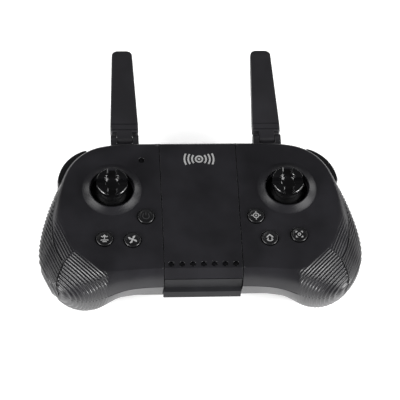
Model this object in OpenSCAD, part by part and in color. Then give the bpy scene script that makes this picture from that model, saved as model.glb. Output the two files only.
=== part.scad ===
/* [Body] */
// Overall width across the two grips
body_w = 186; // [180:1:224]
// Overall depth of the body, without the antennas
body_d = 100; // [96:1:120]
// Height of the flat face above the surface it rests on
body_h = 40; // [39:0.5:48]
// Thickness of the housing walls
wall = 2; // [1.6:0.1:2.4]
// Height of the seam between the top and bottom housings
seam_z = 26; // [25:0.5:27]
// Height of the underside between the two grips
slab_z = 12; // [11:0.5:12.5]
// Thickness of the ridged side grips
grip_t = 1.6; // [1.2:0.1:2]

/* [Center cover] */
// Width of the channel that the centre cover lies in
panel_w = 45; // [43:0.5:50]
// Gap on each side of the centre cover
panel_gap = 0.4; // [0.3:0.1:0.8]
// Thickness of the centre cover
cover_t = 1.8; // [1.4:0.1:2]
// Number of indicator lights in the row
light_count = 7; // [5:1:7]
// Spacing of the indicator lights
light_pitch = 6.1; // [5.5:0.1:6.1]
// Radius of an indicator light's hole
light_r = 1.75; // [1.2:0.05:2]

/* [Control sticks] */
// Distance from a stick's centre to the side of the body
stick_from_side = 42.4; // [41:0.2:43]
// Distance from a stick's centre to the rear of the body
stick_from_rear = 34.4; // [33:0.2:36]
// Radius of the hole round a stick
well_r = 12.4; // [12:0.1:13]
// Height of the raised ring round a stick
crest_h = 2; // [1.5:0.1:2.1]
// Depth of the stick's pivot below the face
pivot_depth = 16; // [15.5:0.5:16.5]
// Radius of the dust dome
dome_r = 16.5; // [16:0.1:17]
// Radius of the stick's cap
cap_r = 9.2; // [8:0.1:9.4]
// Height of the cap's top above the face
cap_top = 9; // [9:0.1:12]
// Radius of the stick's shaft
shaft_r = 2.4; // [2:0.1:3]
// Radius of the stick's own pivot pins
stick_pin_r = 1; // [0.8:0.1:1.2]
// Radius of the gimbal ring's pivot pins
ring_pin_r = 1.2; // [1:0.1:1.4]
// Running clearance of a pin in its hole, on the radius
pin_fit = 0.05; // [0.03:0.01:0.08]

/* [Face buttons] */
// Radius of a button
button_r = 4.7; // [4:0.1:5]
// Gap round a button
button_gap = 0.35; // [0.3:0.05:0.5]
// Height of a button above the face
button_rise = 0.9; // [0.6:0.1:1.4]
// Travel of a button
button_travel = 1; // [0.6:0.1:1.2]

/* [Shoulder buttons] */
// How far a shoulder button stands proud of the housing
bumper_proud = 2.6; // [1.5:0.1:3]
// Height of a shoulder button's face
bumper_h = 13; // [10:0.5:13]
// Travel of a shoulder button
bumper_travel = 1.2; // [0.8:0.1:1.4]

/* [Antennas] */
// Distance of an antenna's middle inboard of the stick's centre
antenna_inboard = 8.6; // [7:0.1:10]
// Length of an antenna from its hinge to its tip
antenna_len = 63; // [50:1:80]
// Width of an antenna at the hinge end
antenna_w = 16.4; // [15:0.2:18]
// Width of an antenna at the tip end
antenna_tip_w = 12.4; // [10:0.2:14]
// Thickness of an antenna
antenna_t = 6; // [5:0.2:7]
// Distance of the hinge behind the body's rear wall
hinge_out = 3.9; // [3.8:0.1:5]
// Height of the hinge
hinge_z = 32; // [31:0.5:33]
// Radius of the hinge pin
hinge_pin_r = 1.5; // [1.2:0.1:1.8]

/* [Phone jaw] */
// Travel of the phone jaw
jaw_travel = 66; // [50:1:68]
// Radius of a jaw rod
rod_r = 2; // [1.6:0.1:2.2]
// Distance between the two jaw rods
rod_spacing = 28; // [24:1:30]
// Height of the jaw rods
rod_z = 21.5; // [21.5:0.1:22]

/* [Battery] */
// Radius of a cell
cell_r = 7.25; // [7:0.05:7.25]
// Length of a cell
cell_len = 50.5; // [44:0.5:50.5]
// Thickness of the battery door
door_t = 1.6; // [1.2:0.1:1.8]

/* [Fasteners] */
// Radius of a housing screw's shank
screw_r = 1.25; // [1:0.05:1.5]
// Radius of a housing screw's head
screw_head_r = 2.4; // [2:0.1:2.6]

/* [Hidden] */

$fn = 48;
tiny = 0.01;
seat_gap = 0.1;
half_w = 93.2;
half_d = 50;
sx = body_w / 2 / half_w;
sy = body_d / 2 / half_d;

// The right half of the body, from the middle of the rear round to the middle
// of the front. Each row holds the widest outline (x, y), the edge of the flat
// face (x, y), the lowest line (x, y, share of the underside's height) and the
// line where the underside turns flat (x, y).
HALF = [
    [0, 46, 0, 41.2, 0, 40, 1, 0, 37],
    [26, 46, 26, 41.2, 26, 40, 1, 24, 37],
    [44, 45.8, 44, 41, 44, 40, 1, 40, 37],
    [58, 43.6, 57, 39.6, 55, 38, 1, 50, 35],
    [68, 38.8, 65.5, 35.6, 62, 34, 1, 55, 31],
    [75, 32, 71.5, 29.8, 67.5, 28, 1, 57, 26],
    [79, 24.5, 75.6, 23, 70, 22, 0.97, 57, 20],
    [82, 16.5, 77.8, 16, 72, 15.5, 0.84, 56, 14],
    [86.2, 8, 79.2, 8.5, 75, 7.5, 0.6, 54.5, 8],
    [89.2, -1, 79.4, 0, 77, -1, 0.34, 52.5, 2],
    [91.6, -10, 78.6, -8.5, 78, -10, 0.12, 50.5, -5],
    [93, -19.5, 76.8, -17, 78, -19, 0, 48.5, -12],
    [92.9, -28, 74, -23.5, 77.5, -27, 0, 46.8, -19],
    [90.2, -37, 70.5, -28, 75.5, -33.5, 0, 45.3, -25.5],
    [85.2, -45, 66.8, -31.5, 72, -38, 0, 44, -31],
    [78.2, -51, 63, -34.5, 68, -40.5, 0, 43, -34.5],
    [70, -53.6, 59.8, -37.6, 63.5, -41, 0, 42, -37],
    [62, -53.2, 57.2, -40.4, 59, -41, 0.15, 40.6, -39],
    [54.5, -51.2, 53, -41.9, 53.5, -41.5, 0.42, 38, -40.4],
    [47, -49, 46, -41.6, 46.5, -42, 0.75, 34.5, -41.2],
    [38, -47.4, 38, -40.9, 38, -42.3, 1, 30, -41.6],
    [30, -46.8, 30, -40.5, 30, -42.3, 1, 25, -41.6],
    [22, -46.6, 22, -40.4, 22, -42.3, 1, 18, -41.6],
    [0, -46.6, 0, -40.4, 0, -42.3, 1, 0, -41.6]];
LAST = len(HALF) - 1;
rear_y = HALF[0][1] * sy;
face_rear_y = HALF[0][3] * sy;
front_y = HALF[LAST][1] * sy;
face_front_y = HALF[LAST][3] * sy;
station_step = 0.5;
step_edge = 0.04;
ceiling_z = body_h - wall;
floor_z = slab_z + wall;

// The stretch of the outline, and of the side's roundness, that a side grip covers
grip_from = 7.5;
grip_to = 14.5;
grip_top_angle = 30;
grip_low_angle = 60;
grip_gap = 0.15;
top_angles = [0, 15, grip_top_angle - 1, grip_top_angle, 45, 60, 75, 90];
low_angles = [0, 20, 40, grip_low_angle, grip_low_angle + 1, 75, 90];
rise_steps = [0.33, 0.66, 1];

// Places of the controls
stick_x = body_w / 2 - stick_from_side;
stick_y = rear_y - stick_from_rear;
pivot_z = body_h - pivot_depth;
light_y = face_front_y + 2.6;
status_x = -stick_x + 17.6;
status_y = stick_y + 19.7;
status_r = 1.7;
light_gap = 0.1;
// Each face button: x outboard of the stick, y in front of it
left_buttons = [[-19, -18.2], [-10.9, -33.5], [5, -32.6]];
right_buttons = [[-19.1, -18.6], [-12.1, -33.2], [4.9, -31.3]];

// Ring round the stick and gimbal
crest_skirt = 1.2;
base_r = 13.2;
base_bore_r = 11.5;
base_top_z = pivot_z + 2.5;
foot_at = 12.2;
foot_r = 2.6;
foot_h = 2;
foot_places = [for (i = [-1, 1], j = [-1, 1]) [i * foot_at, j * foot_at]];
ring_r = 9.2;
ring_bore_r = 6.2;
ring_half_h = 1.8;
hub_r = 4.2;
hub_half_h = 3;
tail_len = 8;
dome_t = 1.3;
dome_low = 7;
cap_z = body_h + cap_top;
cap_neck_r = 4.6;
cap_base_z = cap_z - 6.2;
cap_neck_h = 1.3;
cap_edge_z = cap_z - 3.2;
prong_h = 1.6;
prong_in_r = 5.4;
prong_gap = 6;
cap_socket = 3;
sensor_w = 10;
sensor_t = 4;

// Centre cover and the tray that it rests on
cover_w = panel_w - 2 * panel_gap;
cover_lip_angles = [0, 9, 18, 26];
tray_t = 1.6;
tray_rise = 0.1;
tray_front_y = face_front_y + 5;
tray_rear_y = face_rear_y + 0.8;
tray_lap = 3;
brow_z = body_h - 5;
brow_y = face_front_y - 4.2;
apron_in_y = face_front_y + 0.5;
apron_t = 1.3;
apron_out_y = apron_in_y - apron_t;

// Phone jaw
pad_t = 0.7;
jaw_gap = 0.4;
jaw_in_y = apron_out_y - pad_t - jaw_gap - pad_t;
jaw_low_z = floor_z + 1.6;
jaw_top_z = brow_z - 0.5;
jaw_lip_z = 24;
jaw_band_y = brow_y - 0.2;
jaw_lip_y = front_y - 0.1;
jaw_low_y = jaw_lip_y + 0.8;
rod_x = rod_spacing / 2;
guide_back_y = apron_in_y + 11;
guide_margin = 5;
rod_grip = 2.6;
clip_r = rod_r + 0.8;
clip_t = 1.2;
clip_play = 1.7;
rod_back_y = guide_back_y + jaw_travel + clip_t + clip_play;

// Battery bay
cell_count = 3;
cell_gap = 0.4;
cell_pitch = 2 * cell_r + 0.5;
cell_z = door_t + cell_gap + cell_r;
bay_half_x = cell_len / 2 + 4.2;
door_boss_l = 4.8;
bay_front_y = -10.8;
bay_back_y = bay_front_y + cell_count * cell_pitch + 2 * cell_gap + door_boss_l;
door_screw_y = bay_back_y - door_boss_l / 2;
bay_roof_z = cell_z + cell_r + cell_gap;
bay_roof_t = 1.3;
ledge = 1;
door_head_t = 0.8;

// Main board
board_z = 27;
board_t = 1.6;
board_top_z = board_z + board_t;
board_half_x = stick_x - dome_r - 0.3;
board_wing_x = stick_x + 11;
board_wing_y = stick_y - 21.6;
board_rear_y = stick_y + 21.4;
board_front_y = light_y - 1.6;
board_tongue_x = 21;
board_step_y = board_front_y + 6.6;
post_r = 2.6;
boss_r = 3.2;
post_places = [[stick_x - 2.6, board_wing_y - 4], [board_half_x - 7, stick_y + 14]];
boss_places = [[stick_x + 12.6, stick_y + 19.8, slab_z],
    [stick_x + 17.6, stick_y - 38, 0], [36 * sx, -36.8 * sy, slab_z]];
boss_head_z = 20;
screw_reach = 8;
board_screw_l = 5;
foot_screw_r = 1;
foot_screw_head_r = 1.9;

// Keypads
key_t = 1.2;
nub_r = 2.2;
stem_z = ceiling_z - 2.4;
button_flange_h = 1.5;
button_flange_r = button_r + 1.1;

// Shoulder buttons
bumper_from = 3.6;
bumper_to = 6.7;
bumper_low_z = seam_z - 4;
bumper_window = 0.17;
bumper_middle = (bumper_from + bumper_to) / 2;
flange_reach = 0.4;
flange_in = wall + 0.9;
flange_t = 1.4;

// Antennas
antenna_x = stick_x - antenna_inboard;
hinge_y = rear_y + hinge_out;
knuckle_r = 3;
knuckle_w = 9;
ear_gap = 0.3;
block_gap = 0.9;
paddle_from = knuckle_r + 1.1;
groove_d = 0.5;
groove_w = 0.7;
groove_places = [paddle_from + 1.2, paddle_from + 5.1];
ear_r = 3.2;
ear_from = knuckle_w / 2 + ear_gap;
bracket_half_h = 3;
bracket_flange = 1.6;
core_w = 5;
core_t = 1;
core_from = 12;
core_to = antenna_len - 5;
core_gap = 0.3;
lead_r = 0.7;

// Colours
body_color = [0.09, 0.09, 0.1];
grip_color = [0.07, 0.07, 0.08];
gloss_color = [0.03, 0.03, 0.035];
steel_color = [0.7, 0.7, 0.72];
rubber_color = [0.15, 0.15, 0.16];
board_color = [0.05, 0.3, 0.15];

// Outline functions
function flip(r) = [-r[0], r[1], -r[2], r[3], -r[4], r[5], r[6], -r[7], r[8]];
function ctrl(i) = i < 0 ? flip(HALF[-i]) : i > LAST ? flip(HALF[2 * LAST - i]) : HALF[i];
function curve(a, b, c, d, u) = b + u * (c - a) / 2
    + u * u * (2 * a - 5 * b + 4 * c - d) / 2 + u * u * u * (3 * b - a - 3 * c + d) / 2;
function row(t) = let (i = floor(t)) curve(ctrl(i - 1), ctrl(i), ctrl(i + 1), ctrl(i + 2), t - i);
function rim(t) = let (r = row(t)) [r[0] * sx, r[1] * sy];
function inward(t) = let (d = rim(t + 0.05) - rim(t - 0.05)) [d[1], -d[0]] / norm(d);
function smooth(u) = u * u * (3 - 2 * u);
function under_grip(t) = t >= grip_from && t <= grip_to;
function recess(t, on) = on && under_grip(t) ? grip_t + grip_gap : 0;

// A point on the rounded upper side: angle 0 is the face's edge, 90 the widest line
function top_point(t, a, inset, h) =
    let (r = row(t), n = inward(t), o = rim(t) + inset * n)
    let (f = [r[2] * sx, r[3] * sy] + 0.6 * inset * n)
    let (p = f + (o - f) * sin(a))
    [p[0], p[1], h - (h - seam_z) * (1 - cos(a))];

// A point on the rounded lower side: angle 0 is the widest line, 90 the lowest line
function low_point(t, a, inset, lift) =
    let (r = row(t), n = inward(t), o = rim(t) + inset * n)
    let (l = [r[4] * sx, r[5] * sy] + 0.6 * inset * n, z = r[6] * slab_z + lift)
    let (p = l + (o - l) * cos(a))
    [p[0], p[1], seam_z - (seam_z - z) * sin(a)];

// A point between the lowest line (u = 0) and the flat underside (u = 1)
function rise_point(t, u, inset, lift) =
    let (r = row(t), n = inward(t), z = r[6] * slab_z + lift)
    let (l = [r[4] * sx, r[5] * sy] + 0.6 * inset * n, i = [r[7] * sx, r[8] * sy])
    let (p = l + (i - l) * u)
    [p[0], p[1], z + (slab_z + lift - z) * smooth(u)];

half_stations = concat([for (t = [0:station_step:grip_from - station_step]) t],
    [grip_from - step_edge], [for (t = [grip_from:station_step:grip_to]) t],
    [grip_to + step_edge], [for (t = [grip_to + station_step:station_step:LAST]) t]);
half_count = len(half_stations);
stations = concat([for (t = half_stations) [t, 1]],
    [for (i = [half_count - 2:-1:1]) [half_stations[i], -1]]);
function sided(p, side) = [p[0] * side, p[1], p[2]];
function top_ring(a, inset, h) = [for (s = stations)
    sided(top_point(s[0], a, inset + recess(s[0], a >= grip_top_angle), h), s[1])];
function low_ring(a, inset, lift) = [for (s = stations)
    sided(low_point(s[0], a, inset + recess(s[0], a <= grip_low_angle), lift), s[1])];
function rise_ring(u, inset, lift) = [for (s = stations)
    sided(rise_point(s[0], u, inset, lift), s[1])];
function reversed(v) = [for (i = [len(v) - 1:-1:0]) v[i]];

// A closed solid through rings of equal length, flat at both ends
module ring_solid(rings) {
    n = len(rings[0]);
    last = len(rings) - 1;
    sides = [for (k = [0:last - 1], i = [0:n - 1], h = [0, 1])
        let (j = (i + 1) % n, a = k * n + i, b = a + n, c = (k + 1) * n + j, d = k * n + j)
        h == 0 ? [a, b, c] : [a, c, d]];
    caps = [[for (i = [0:n - 1]) i], [for (i = [n - 1:-1:0]) last * n + i]];
    polyhedron([for (r = rings, p = r) p], concat(sides, caps), convexity = 6);
}

// A closed sheet between two grids of points of the same size
module sheet_solid(outer, inner) {
    m = len(outer) - 1;
    p = len(outer[0]) - 1;
    w = p + 1;
    g = (m + 1) * w;
    function at(i, k) = i * w + k;
    faces = concat(
        [for (i = [0:m - 1], k = [0:p - 1], h = [0, 1]) h == 0
            ? [at(i, k), at(i, k + 1), at(i + 1, k + 1)]
            : [at(i, k), at(i + 1, k + 1), at(i + 1, k)]],
        [for (i = [0:m - 1], k = [0:p - 1], h = [0, 1]) h == 0
            ? [g + at(i, k), g + at(i + 1, k + 1), g + at(i, k + 1)]
            : [g + at(i, k), g + at(i + 1, k), g + at(i + 1, k + 1)]],
        [for (i = [0:m - 1], h = [0, 1]) h == 0
            ? [at(i, 0), at(i + 1, 0), g + at(i + 1, 0)]
            : [at(i, 0), g + at(i + 1, 0), g + at(i, 0)]],
        [for (i = [0:m - 1], h = [0, 1]) h == 0
            ? [at(i, p), g + at(i + 1, p), at(i + 1, p)]
            : [at(i, p), g + at(i, p), g + at(i + 1, p)]],
        [for (k = [0:p - 1], h = [0, 1]) h == 0
            ? [at(0, k), g + at(0, k + 1), at(0, k + 1)]
            : [at(0, k), g + at(0, k), g + at(0, k + 1)]],
        [for (k = [0:p - 1], h = [0, 1]) h == 0
            ? [at(m, k), at(m, k + 1), g + at(m, k + 1)]
            : [at(m, k), g + at(m, k + 1), g + at(m, k)]]);
    polyhedron([for (v = [outer, inner], r = v, q = r) q], faces, convexity = 4);
}

module both_sides() {
    children();
    mirror([1, 0, 0]) children();
}

module box(x, y, z) {
    translate([x[0], y[0], z[0]]) cube([x[1] - x[0], y[1] - y[0], z[1] - z[0]]);
}

module rod(r, z0, z1) {
    translate([0, 0, z0]) cylinder(r = r, h = z1 - z0);
}

// A cylinder along X, or along Y, between two ends
module rod_x(r, x0, x1) {
    translate([x0, 0, 0]) rotate([0, 90, 0]) cylinder(r = r, h = x1 - x0);
}
module rod_y(r, y0, y1) {
    translate([0, y0, 0]) rotate([-90, 0, 0]) cylinder(r = r, h = y1 - y0);
}

// A flat outline in Y and Z, drawn out along X about the middle
module along_x(points, width) {
    translate([-width / 2, 0, 0]) rotate([90, 0, 90]) linear_extrude(width) polygon(points);
}

// The strip of the plan between two depths inside the rim
module rim_strip(from, to, outer, inner) {
    ts = [for (i = [0:12]) from + (to - from) * i / 12];
    polygon(concat([for (t = ts) rim(t) + outer * inward(t)],
        [for (t = reversed(ts)) rim(t) + inner * inward(t)]));
}

function button_places(side) = [for (b = side < 0 ? left_buttons : right_buttons)
    [side * (stick_x + b[0]), stick_y + b[1]]];

module bumper_window_cut() {
    translate([0, 0, bumper_low_z - 0.4]) linear_extrude(bumper_h + 0.8)
        rim_strip(bumper_from - bumper_window, bumper_to + bumper_window, -8, wall + 1.5);
}

module front_notch_cut() {
    box([-panel_w / 2, panel_w / 2], [front_y - 5, apron_in_y + panel_gap],
        [jaw_low_z - 0.4, body_h + 5]);
}

// The raised ring round a stick
module crest() {
    translate([0, 0, body_h]) rotate_extrude()
        polygon([[well_r, -wall - crest_skirt], [well_r, crest_h - 0.3], [well_r + 0.3, crest_h],
            [well_r + 0.9, crest_h], [well_r + 2.2, 0.62 * crest_h],
            [well_r + 4, 0.2 * crest_h], [well_r + 5.6, -0.2], [well_r + 5.6, -wall / 2],
            [well_r + 1.2, -wall - crest_skirt]]);
}

module top_housing() {
    color(body_color) difference() {
        union() {
            difference() {
                ring_solid(concat([for (a = top_angles) top_ring(a, 0, body_h)],
                    [for (a = reversed(top_angles)) top_ring(a, wall, ceiling_z)]));
                box([-panel_w / 2, panel_w / 2], [front_y - 5, rear_y + 5],
                    [ceiling_z - 0.05, body_h + 5]);
                front_notch_cut();
                both_sides() translate([stick_x, stick_y, 0])
                    rod(well_r + 1, ceiling_z - 5, body_h + 5);
            }
            box([-panel_w / 2 - tray_lap, panel_w / 2 + tray_lap],
                [tray_front_y, tray_rear_y], [ceiling_z - tray_t, ceiling_z + tray_rise]);
            both_sides() {
                translate([stick_x, stick_y, 0]) crest();
                for (p = post_places)
                    translate(p) rod(post_r, board_top_z, ceiling_z + 0.5);
                for (p = boss_places)
                    translate([p[0], p[1], 0]) rod(boss_r, seam_z, ceiling_z + 0.5);
            }
        }
        for (side = [-1, 1], b = button_places(side))
            translate(b) rod(button_r + button_gap, ceiling_z - 3, body_h + 5);
        translate([status_x, status_y, 0]) rod(status_r, ceiling_z - 3, body_h + 5);
        both_sides() {
            for (p = post_places)
                translate(p) rod(screw_r, board_top_z - 1, board_top_z + board_screw_l);
            for (p = boss_places)
                translate([p[0], p[1], 0]) rod(screw_r, seam_z - 1, seam_z + screw_reach);
            bumper_window_cut();
            box([antenna_x - antenna_w / 2 - 0.2, antenna_x + antenna_w / 2 + 0.2],
                [rear_y - 8, rear_y + 5], [hinge_z - bracket_half_h - 0.2,
                hinge_z + bracket_half_h + 0.2]);
        }
    }
}

module bottom_housing() {
    bay_x = [-bay_half_x, bay_half_x];
    bay_y = [bay_front_y, bay_back_y];
    color(body_color) difference() {
        union() {
            ring_solid(concat([for (u = reversed(rise_steps)) rise_ring(u, wall, wall)],
                [for (a = reversed(low_angles)) low_ring(a, wall, wall)],
                [for (a = low_angles) low_ring(a, 0, 0)],
                [for (u = rise_steps) rise_ring(u, 0, 0)]));
            box([bay_x[0] - wall, bay_x[1] + wall], [bay_y[0] - wall, bay_y[1] + wall],
                [0, bay_roof_z + bay_roof_t]);
            both_sides() for (p = boss_places)
                translate([p[0], p[1], 0]) rod(boss_r, p[2] + wall / 2, seam_z);
        }
        box(bay_x, bay_y, [-1, door_t]);
        box([bay_x[0] + ledge, bay_x[1] - ledge], [bay_y[0], bay_y[1] - door_boss_l],
            [-1, bay_roof_z]);
        translate([0, door_screw_y, 0]) rod(screw_r, -1, bay_roof_z - 2);
        front_notch_cut();
        both_sides() {
            bumper_window_cut();
            for (f = foot_places) translate([stick_x + f[0], stick_y + f[1], 0])
                rod(foot_screw_r, floor_z - 1.2, floor_z + 1);
            for (p = boss_places) translate([p[0], p[1], 0]) {
                rod(screw_head_r + 0.3, -1, boss_head_z);
                rod(screw_r + 0.15, boss_head_z - 1, seam_z + 1);
            }
        }
    }
}

module center_cover() {
    lip = [for (a = cover_lip_angles) let (p = top_point(0, a, 0, body_h)) [p[1], p[2]]];
    color(body_color) difference() {
        along_x(concat(lip, [[lip[len(lip) - 1][0], body_h - cover_t],
            [apron_in_y, body_h - cover_t], [apron_in_y, floor_z + seat_gap],
            [apron_out_y, floor_z + seat_gap], [apron_out_y, brow_z],
            [brow_y, brow_z], [face_front_y, body_h]]), cover_w);
        for (i = [0:light_count - 1])
            translate([(i - (light_count - 1) / 2) * light_pitch, light_y, 0])
                rod(light_r, body_h - cover_t - 1, body_h + 1);
        for (x = [-rod_x, rod_x])
            translate([x, 0, rod_z]) rod_y(rod_r + 0.5, apron_out_y - 1, apron_in_y + 1);
    }
}

module side_grip() {
    ts = [for (t = [grip_from:station_step:grip_to]) t];
    tops = [for (a = top_angles) if (a >= grip_top_angle) a];
    lows = [for (a = low_angles) if (a > 0 && a <= grip_low_angle) a];
    edge = step_edge * 1.5;
    function inner_t(t) = min(max(t, grip_from + edge), grip_to - edge);
    outer = [for (t = ts) concat([for (a = tops) top_point(inner_t(t), a + 1, 0, body_h)],
        [for (a = lows) low_point(inner_t(t), a - 1, 0, 0)])];
    inner = [for (t = ts) concat([for (a = tops) top_point(inner_t(t), a + 1, grip_t, body_h)],
        [for (a = lows) low_point(inner_t(t), a - 1, grip_t, 0)])];
    color(grip_color) sheet_solid(outer, inner);
}

module battery_door() {
    color(body_color) difference() {
        box([-bay_half_x + 0.2, bay_half_x - 0.2],
            [bay_front_y + 0.2, bay_back_y - 0.2], [0, door_t]);
        translate([0, door_screw_y, 0]) rod(screw_r + 0.2, -1, door_t + 1);
        translate([0, door_screw_y, 0]) rod(screw_head_r + 0.1, -1, door_head_t);
        for (i = [-2:2]) box([i * 3 - 0.6, i * 3 + 0.6],
            [bay_front_y + 4, bay_front_y + 12], [-1, 0.5]);
    }
}

module door_screw() {
    color(steel_color) translate([0, door_screw_y, 0]) {
        rod(screw_head_r, 0.1, door_head_t);
        rod(screw_r, door_head_t - tiny, bay_roof_z - 3);
    }
}

module battery_cells() {
    color([0.3, 0.32, 0.36]) for (i = [0:cell_count - 1])
        translate([0, bay_front_y + cell_gap + (i + 0.5) * cell_pitch, cell_z])
            mirror([i % 2, 0, 0]) {
                rod_x(cell_r, -cell_len / 2, cell_len / 2 - 1.2);
                rod_x(2.7, cell_len / 2 - 1.3, cell_len / 2);
            }
}

module battery_contacts() {
    inner = cell_len / 2 + 0.05;
    outer = bay_half_x - ledge;
    color(steel_color) for (i = [0:cell_count - 1], side = [-1, 1])
        translate([0, bay_front_y + cell_gap + (i + 0.5) * cell_pitch, cell_z])
            mirror([side < 0 ? 1 : 0, 0, 0]) {
                box([outer - 0.5, outer], [-4.5, 4.5], [-4.5, 4.5]);
                rod_x((i + (side + 1) / 2) % 2 == 0 ? 2.8 : 2, inner, outer - 0.4);
            }
}

module main_board() {
    outline = [[board_tongue_x, board_front_y], [board_tongue_x, board_step_y],
        [board_wing_x, board_step_y], [board_wing_x, board_wing_y],
        [board_half_x, board_wing_y], [board_half_x, board_rear_y]];
    color(board_color) difference() {
        translate([0, 0, board_z]) linear_extrude(board_t)
            polygon(concat(outline, [for (p = reversed(outline)) [-p[0], p[1]]]));
        both_sides() for (p = post_places)
            translate(p) rod(screw_r + 0.1, board_z - 1, board_top_z + 1);
    }
}

module board_chips() {
    color([0.04, 0.04, 0.04]) {
        box([-5, 5], [-6, 4], [board_top_z, board_top_z + 1.4]);
        box([8, 22], [10, 24], [board_top_z, board_top_z + 2]);
        box([-18, -12], [-16, -12], [board_top_z, board_top_z + 1.6]);
        box([9, 16], [-18, -13], [board_top_z, board_top_z + 3]);
        box([-20, -14], [0, 5], [board_top_z, board_top_z + 1]);
    }
}

module buzzer() {
    color([0.05, 0.05, 0.05]) translate([-14, 20, 0]) difference() {
        rod(6, board_top_z, board_top_z + 5.4);
        rod(1, board_top_z + 3, board_top_z + 6);
    }
}

module indicator_lights() {
    color([0.8, 0.8, 0.78]) for (i = [0:light_count - 1])
        translate([(i - (light_count - 1) / 2) * light_pitch, light_y, 0])
            rod(light_r - light_gap, board_top_z, body_h - 0.5);
}

module status_light() {
    color([0.8, 0.8, 0.78]) translate([status_x, status_y, 0])
        rod(status_r - light_gap, board_top_z, body_h - 0.4);
}

// The right shoulder button, which wraps the rear corner
module bumper() {
    color(body_color) {
        translate([0, 0, bumper_low_z]) linear_extrude(bumper_h)
            rim_strip(bumper_from, bumper_to, -bumper_proud, flange_in + flange_t);
        translate([0, 0, bumper_low_z + 0.8]) linear_extrude(bumper_h - 2.8)
            rim_strip(bumper_from - flange_reach, bumper_to + flange_reach,
                flange_in, flange_in + flange_t);
    }
}

module bumper_switch() {
    t = bumper_middle + 0.45;
    n = inward(t);
    p = rim(t) + (flange_in + flange_t + bumper_travel + 0.3) * n;
    color([0.05, 0.05, 0.05]) translate([p[0], p[1], 0]) rotate(atan2(n[1], n[0])) {
        box([0, 1], [-1.5, 1.5], [seam_z, seam_z + 3]);
        box([1 - tiny, 4], [-3, 3], [seam_z - 2, seam_z + 4.5]);
        box([2.6, 4], [-3, 3], [floor_z + 0.5, seam_z]);
    }
}

module bumper_switches() {
    both_sides() bumper_switch();
}

module gimbal_base() {
    color([0.12, 0.12, 0.13]) translate([stick_x, stick_y, 0]) difference() {
        union() {
            rod(base_r, floor_z, base_top_z);
            for (f = foot_places) {
                translate(f) rod(foot_r, floor_z, floor_z + foot_h);
                rotate(atan2(f[1], f[0]))
                    box([base_r - 1, norm(f)], [-foot_r / 2, foot_r / 2],
                        [floor_z, floor_z + foot_h]);
            }
        }
        rod(base_bore_r, floor_z + 1.6, base_top_z + 1);
        translate([0, 0, pivot_z]) rod_x(ring_pin_r + pin_fit, -base_r - 1, base_r + 1);
        for (f = foot_places)
            translate(f) rod(foot_screw_r + 0.15, floor_z - 1, floor_z + foot_h + 1);
    }
}

module gimbal_screws() {
    color(steel_color) both_sides() translate([stick_x, stick_y, 0])
        for (f = foot_places) translate(f) {
            rod(foot_screw_r, floor_z - 1.1, floor_z + foot_h + tiny);
            rod(foot_screw_head_r, floor_z + foot_h, floor_z + foot_h + 1.3);
        }
}

module gimbal_ring() {
    color([0.2, 0.2, 0.21]) translate([stick_x, stick_y, pivot_z]) {
        difference() {
            rod(ring_r, -ring_half_h, ring_half_h);
            rod(ring_bore_r, -ring_half_h - 1, ring_half_h + 1);
            rod_y(stick_pin_r + pin_fit, -ring_r - 1, ring_r + 1);
        }
        rod_x(ring_pin_r, ring_r - 1, base_r - 0.1);
        rod_x(ring_pin_r, -base_r + 0.1, -ring_r + 1);
    }
}

module stick() {
    color(gloss_color) translate([stick_x, stick_y, pivot_z]) {
        rod(shaft_r, -tail_len, cap_base_z + cap_socket - pivot_z);
        rod(hub_r, -hub_half_h, hub_half_h);
        rod_y(stick_pin_r, -ring_r + 0.3, ring_r - 0.3);
    }
}

module stick_dome() {
    color(gloss_color) translate([stick_x, stick_y, pivot_z]) difference() {
        sphere(dome_r, $fn = 96);
        sphere(dome_r - dome_t, $fn = 96);
        rod(dome_r + 1, -dome_r - 1, dome_low);
        rod(shaft_r, 0, dome_r + 1);
    }
}

module stick_cap() {
    color(gloss_color) translate([stick_x, stick_y, 0]) difference() {
        rotate_extrude() polygon([[0, cap_base_z], [cap_neck_r, cap_base_z],
            [cap_neck_r, cap_base_z + cap_neck_h], [cap_r - 0.5, cap_edge_z - 0.3],
            [cap_r, cap_edge_z], [cap_r, cap_z - 0.5], [cap_r - 0.5, cap_z],
            [prong_in_r, cap_z], [prong_in_r, cap_z - prong_h], [0, cap_z - prong_h]]);
        rod(shaft_r, cap_base_z - 1, cap_base_z + cap_socket);
        for (a = [0, 90]) rotate(a)
            box([-cap_r - 1, cap_r + 1], [-prong_gap / 2, prong_gap / 2],
                [cap_z - prong_h, cap_z + 1]);
    }
}

module gimbal_sensors() {
    low = pivot_z - 8;
    high = pivot_z + 1;
    half = sensor_w / 2;
    color([0.05, 0.12, 0.3]) both_sides() translate([stick_x, stick_y, 0]) {
        box([base_r + 0.05, base_r + sensor_t], [-half, half], [low, high]);
        box([-half, half], [-base_r - sensor_t, -base_r - 0.05], [low, high]);
    }
}

// One face button, in the given place of the given side
module face_button(side, i) {
    top = body_h + button_rise;
    color(gloss_color) translate(button_places(side)[i]) {
        rotate_extrude() polygon([[0, stem_z], [button_r, stem_z], [button_r, top - 0.5],
            [button_r - 0.5, top], [0, top]]);
        rod(button_flange_r, stem_z, stem_z + button_flange_h);
    }
}

module keypad(side) {
    places = button_places(side);
    bar_w = 4;
    nub_z = stem_z - button_travel - 0.4;
    color(rubber_color) union() {
        translate([0, 0, board_top_z]) linear_extrude(key_t) {
            for (p = places) translate(p) circle(button_r + 0.8);
            for (i = [0, 1]) let (p = places[i], d = places[i + 1] - p)
                translate(p) rotate(atan2(d[1], d[0]))
                    translate([2, -bar_w / 2]) square([norm(d) - 4, bar_w]);
        }
        for (p = places) translate(p) rod(nub_r, board_top_z + key_t / 2, nub_z);
    }
}

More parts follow.
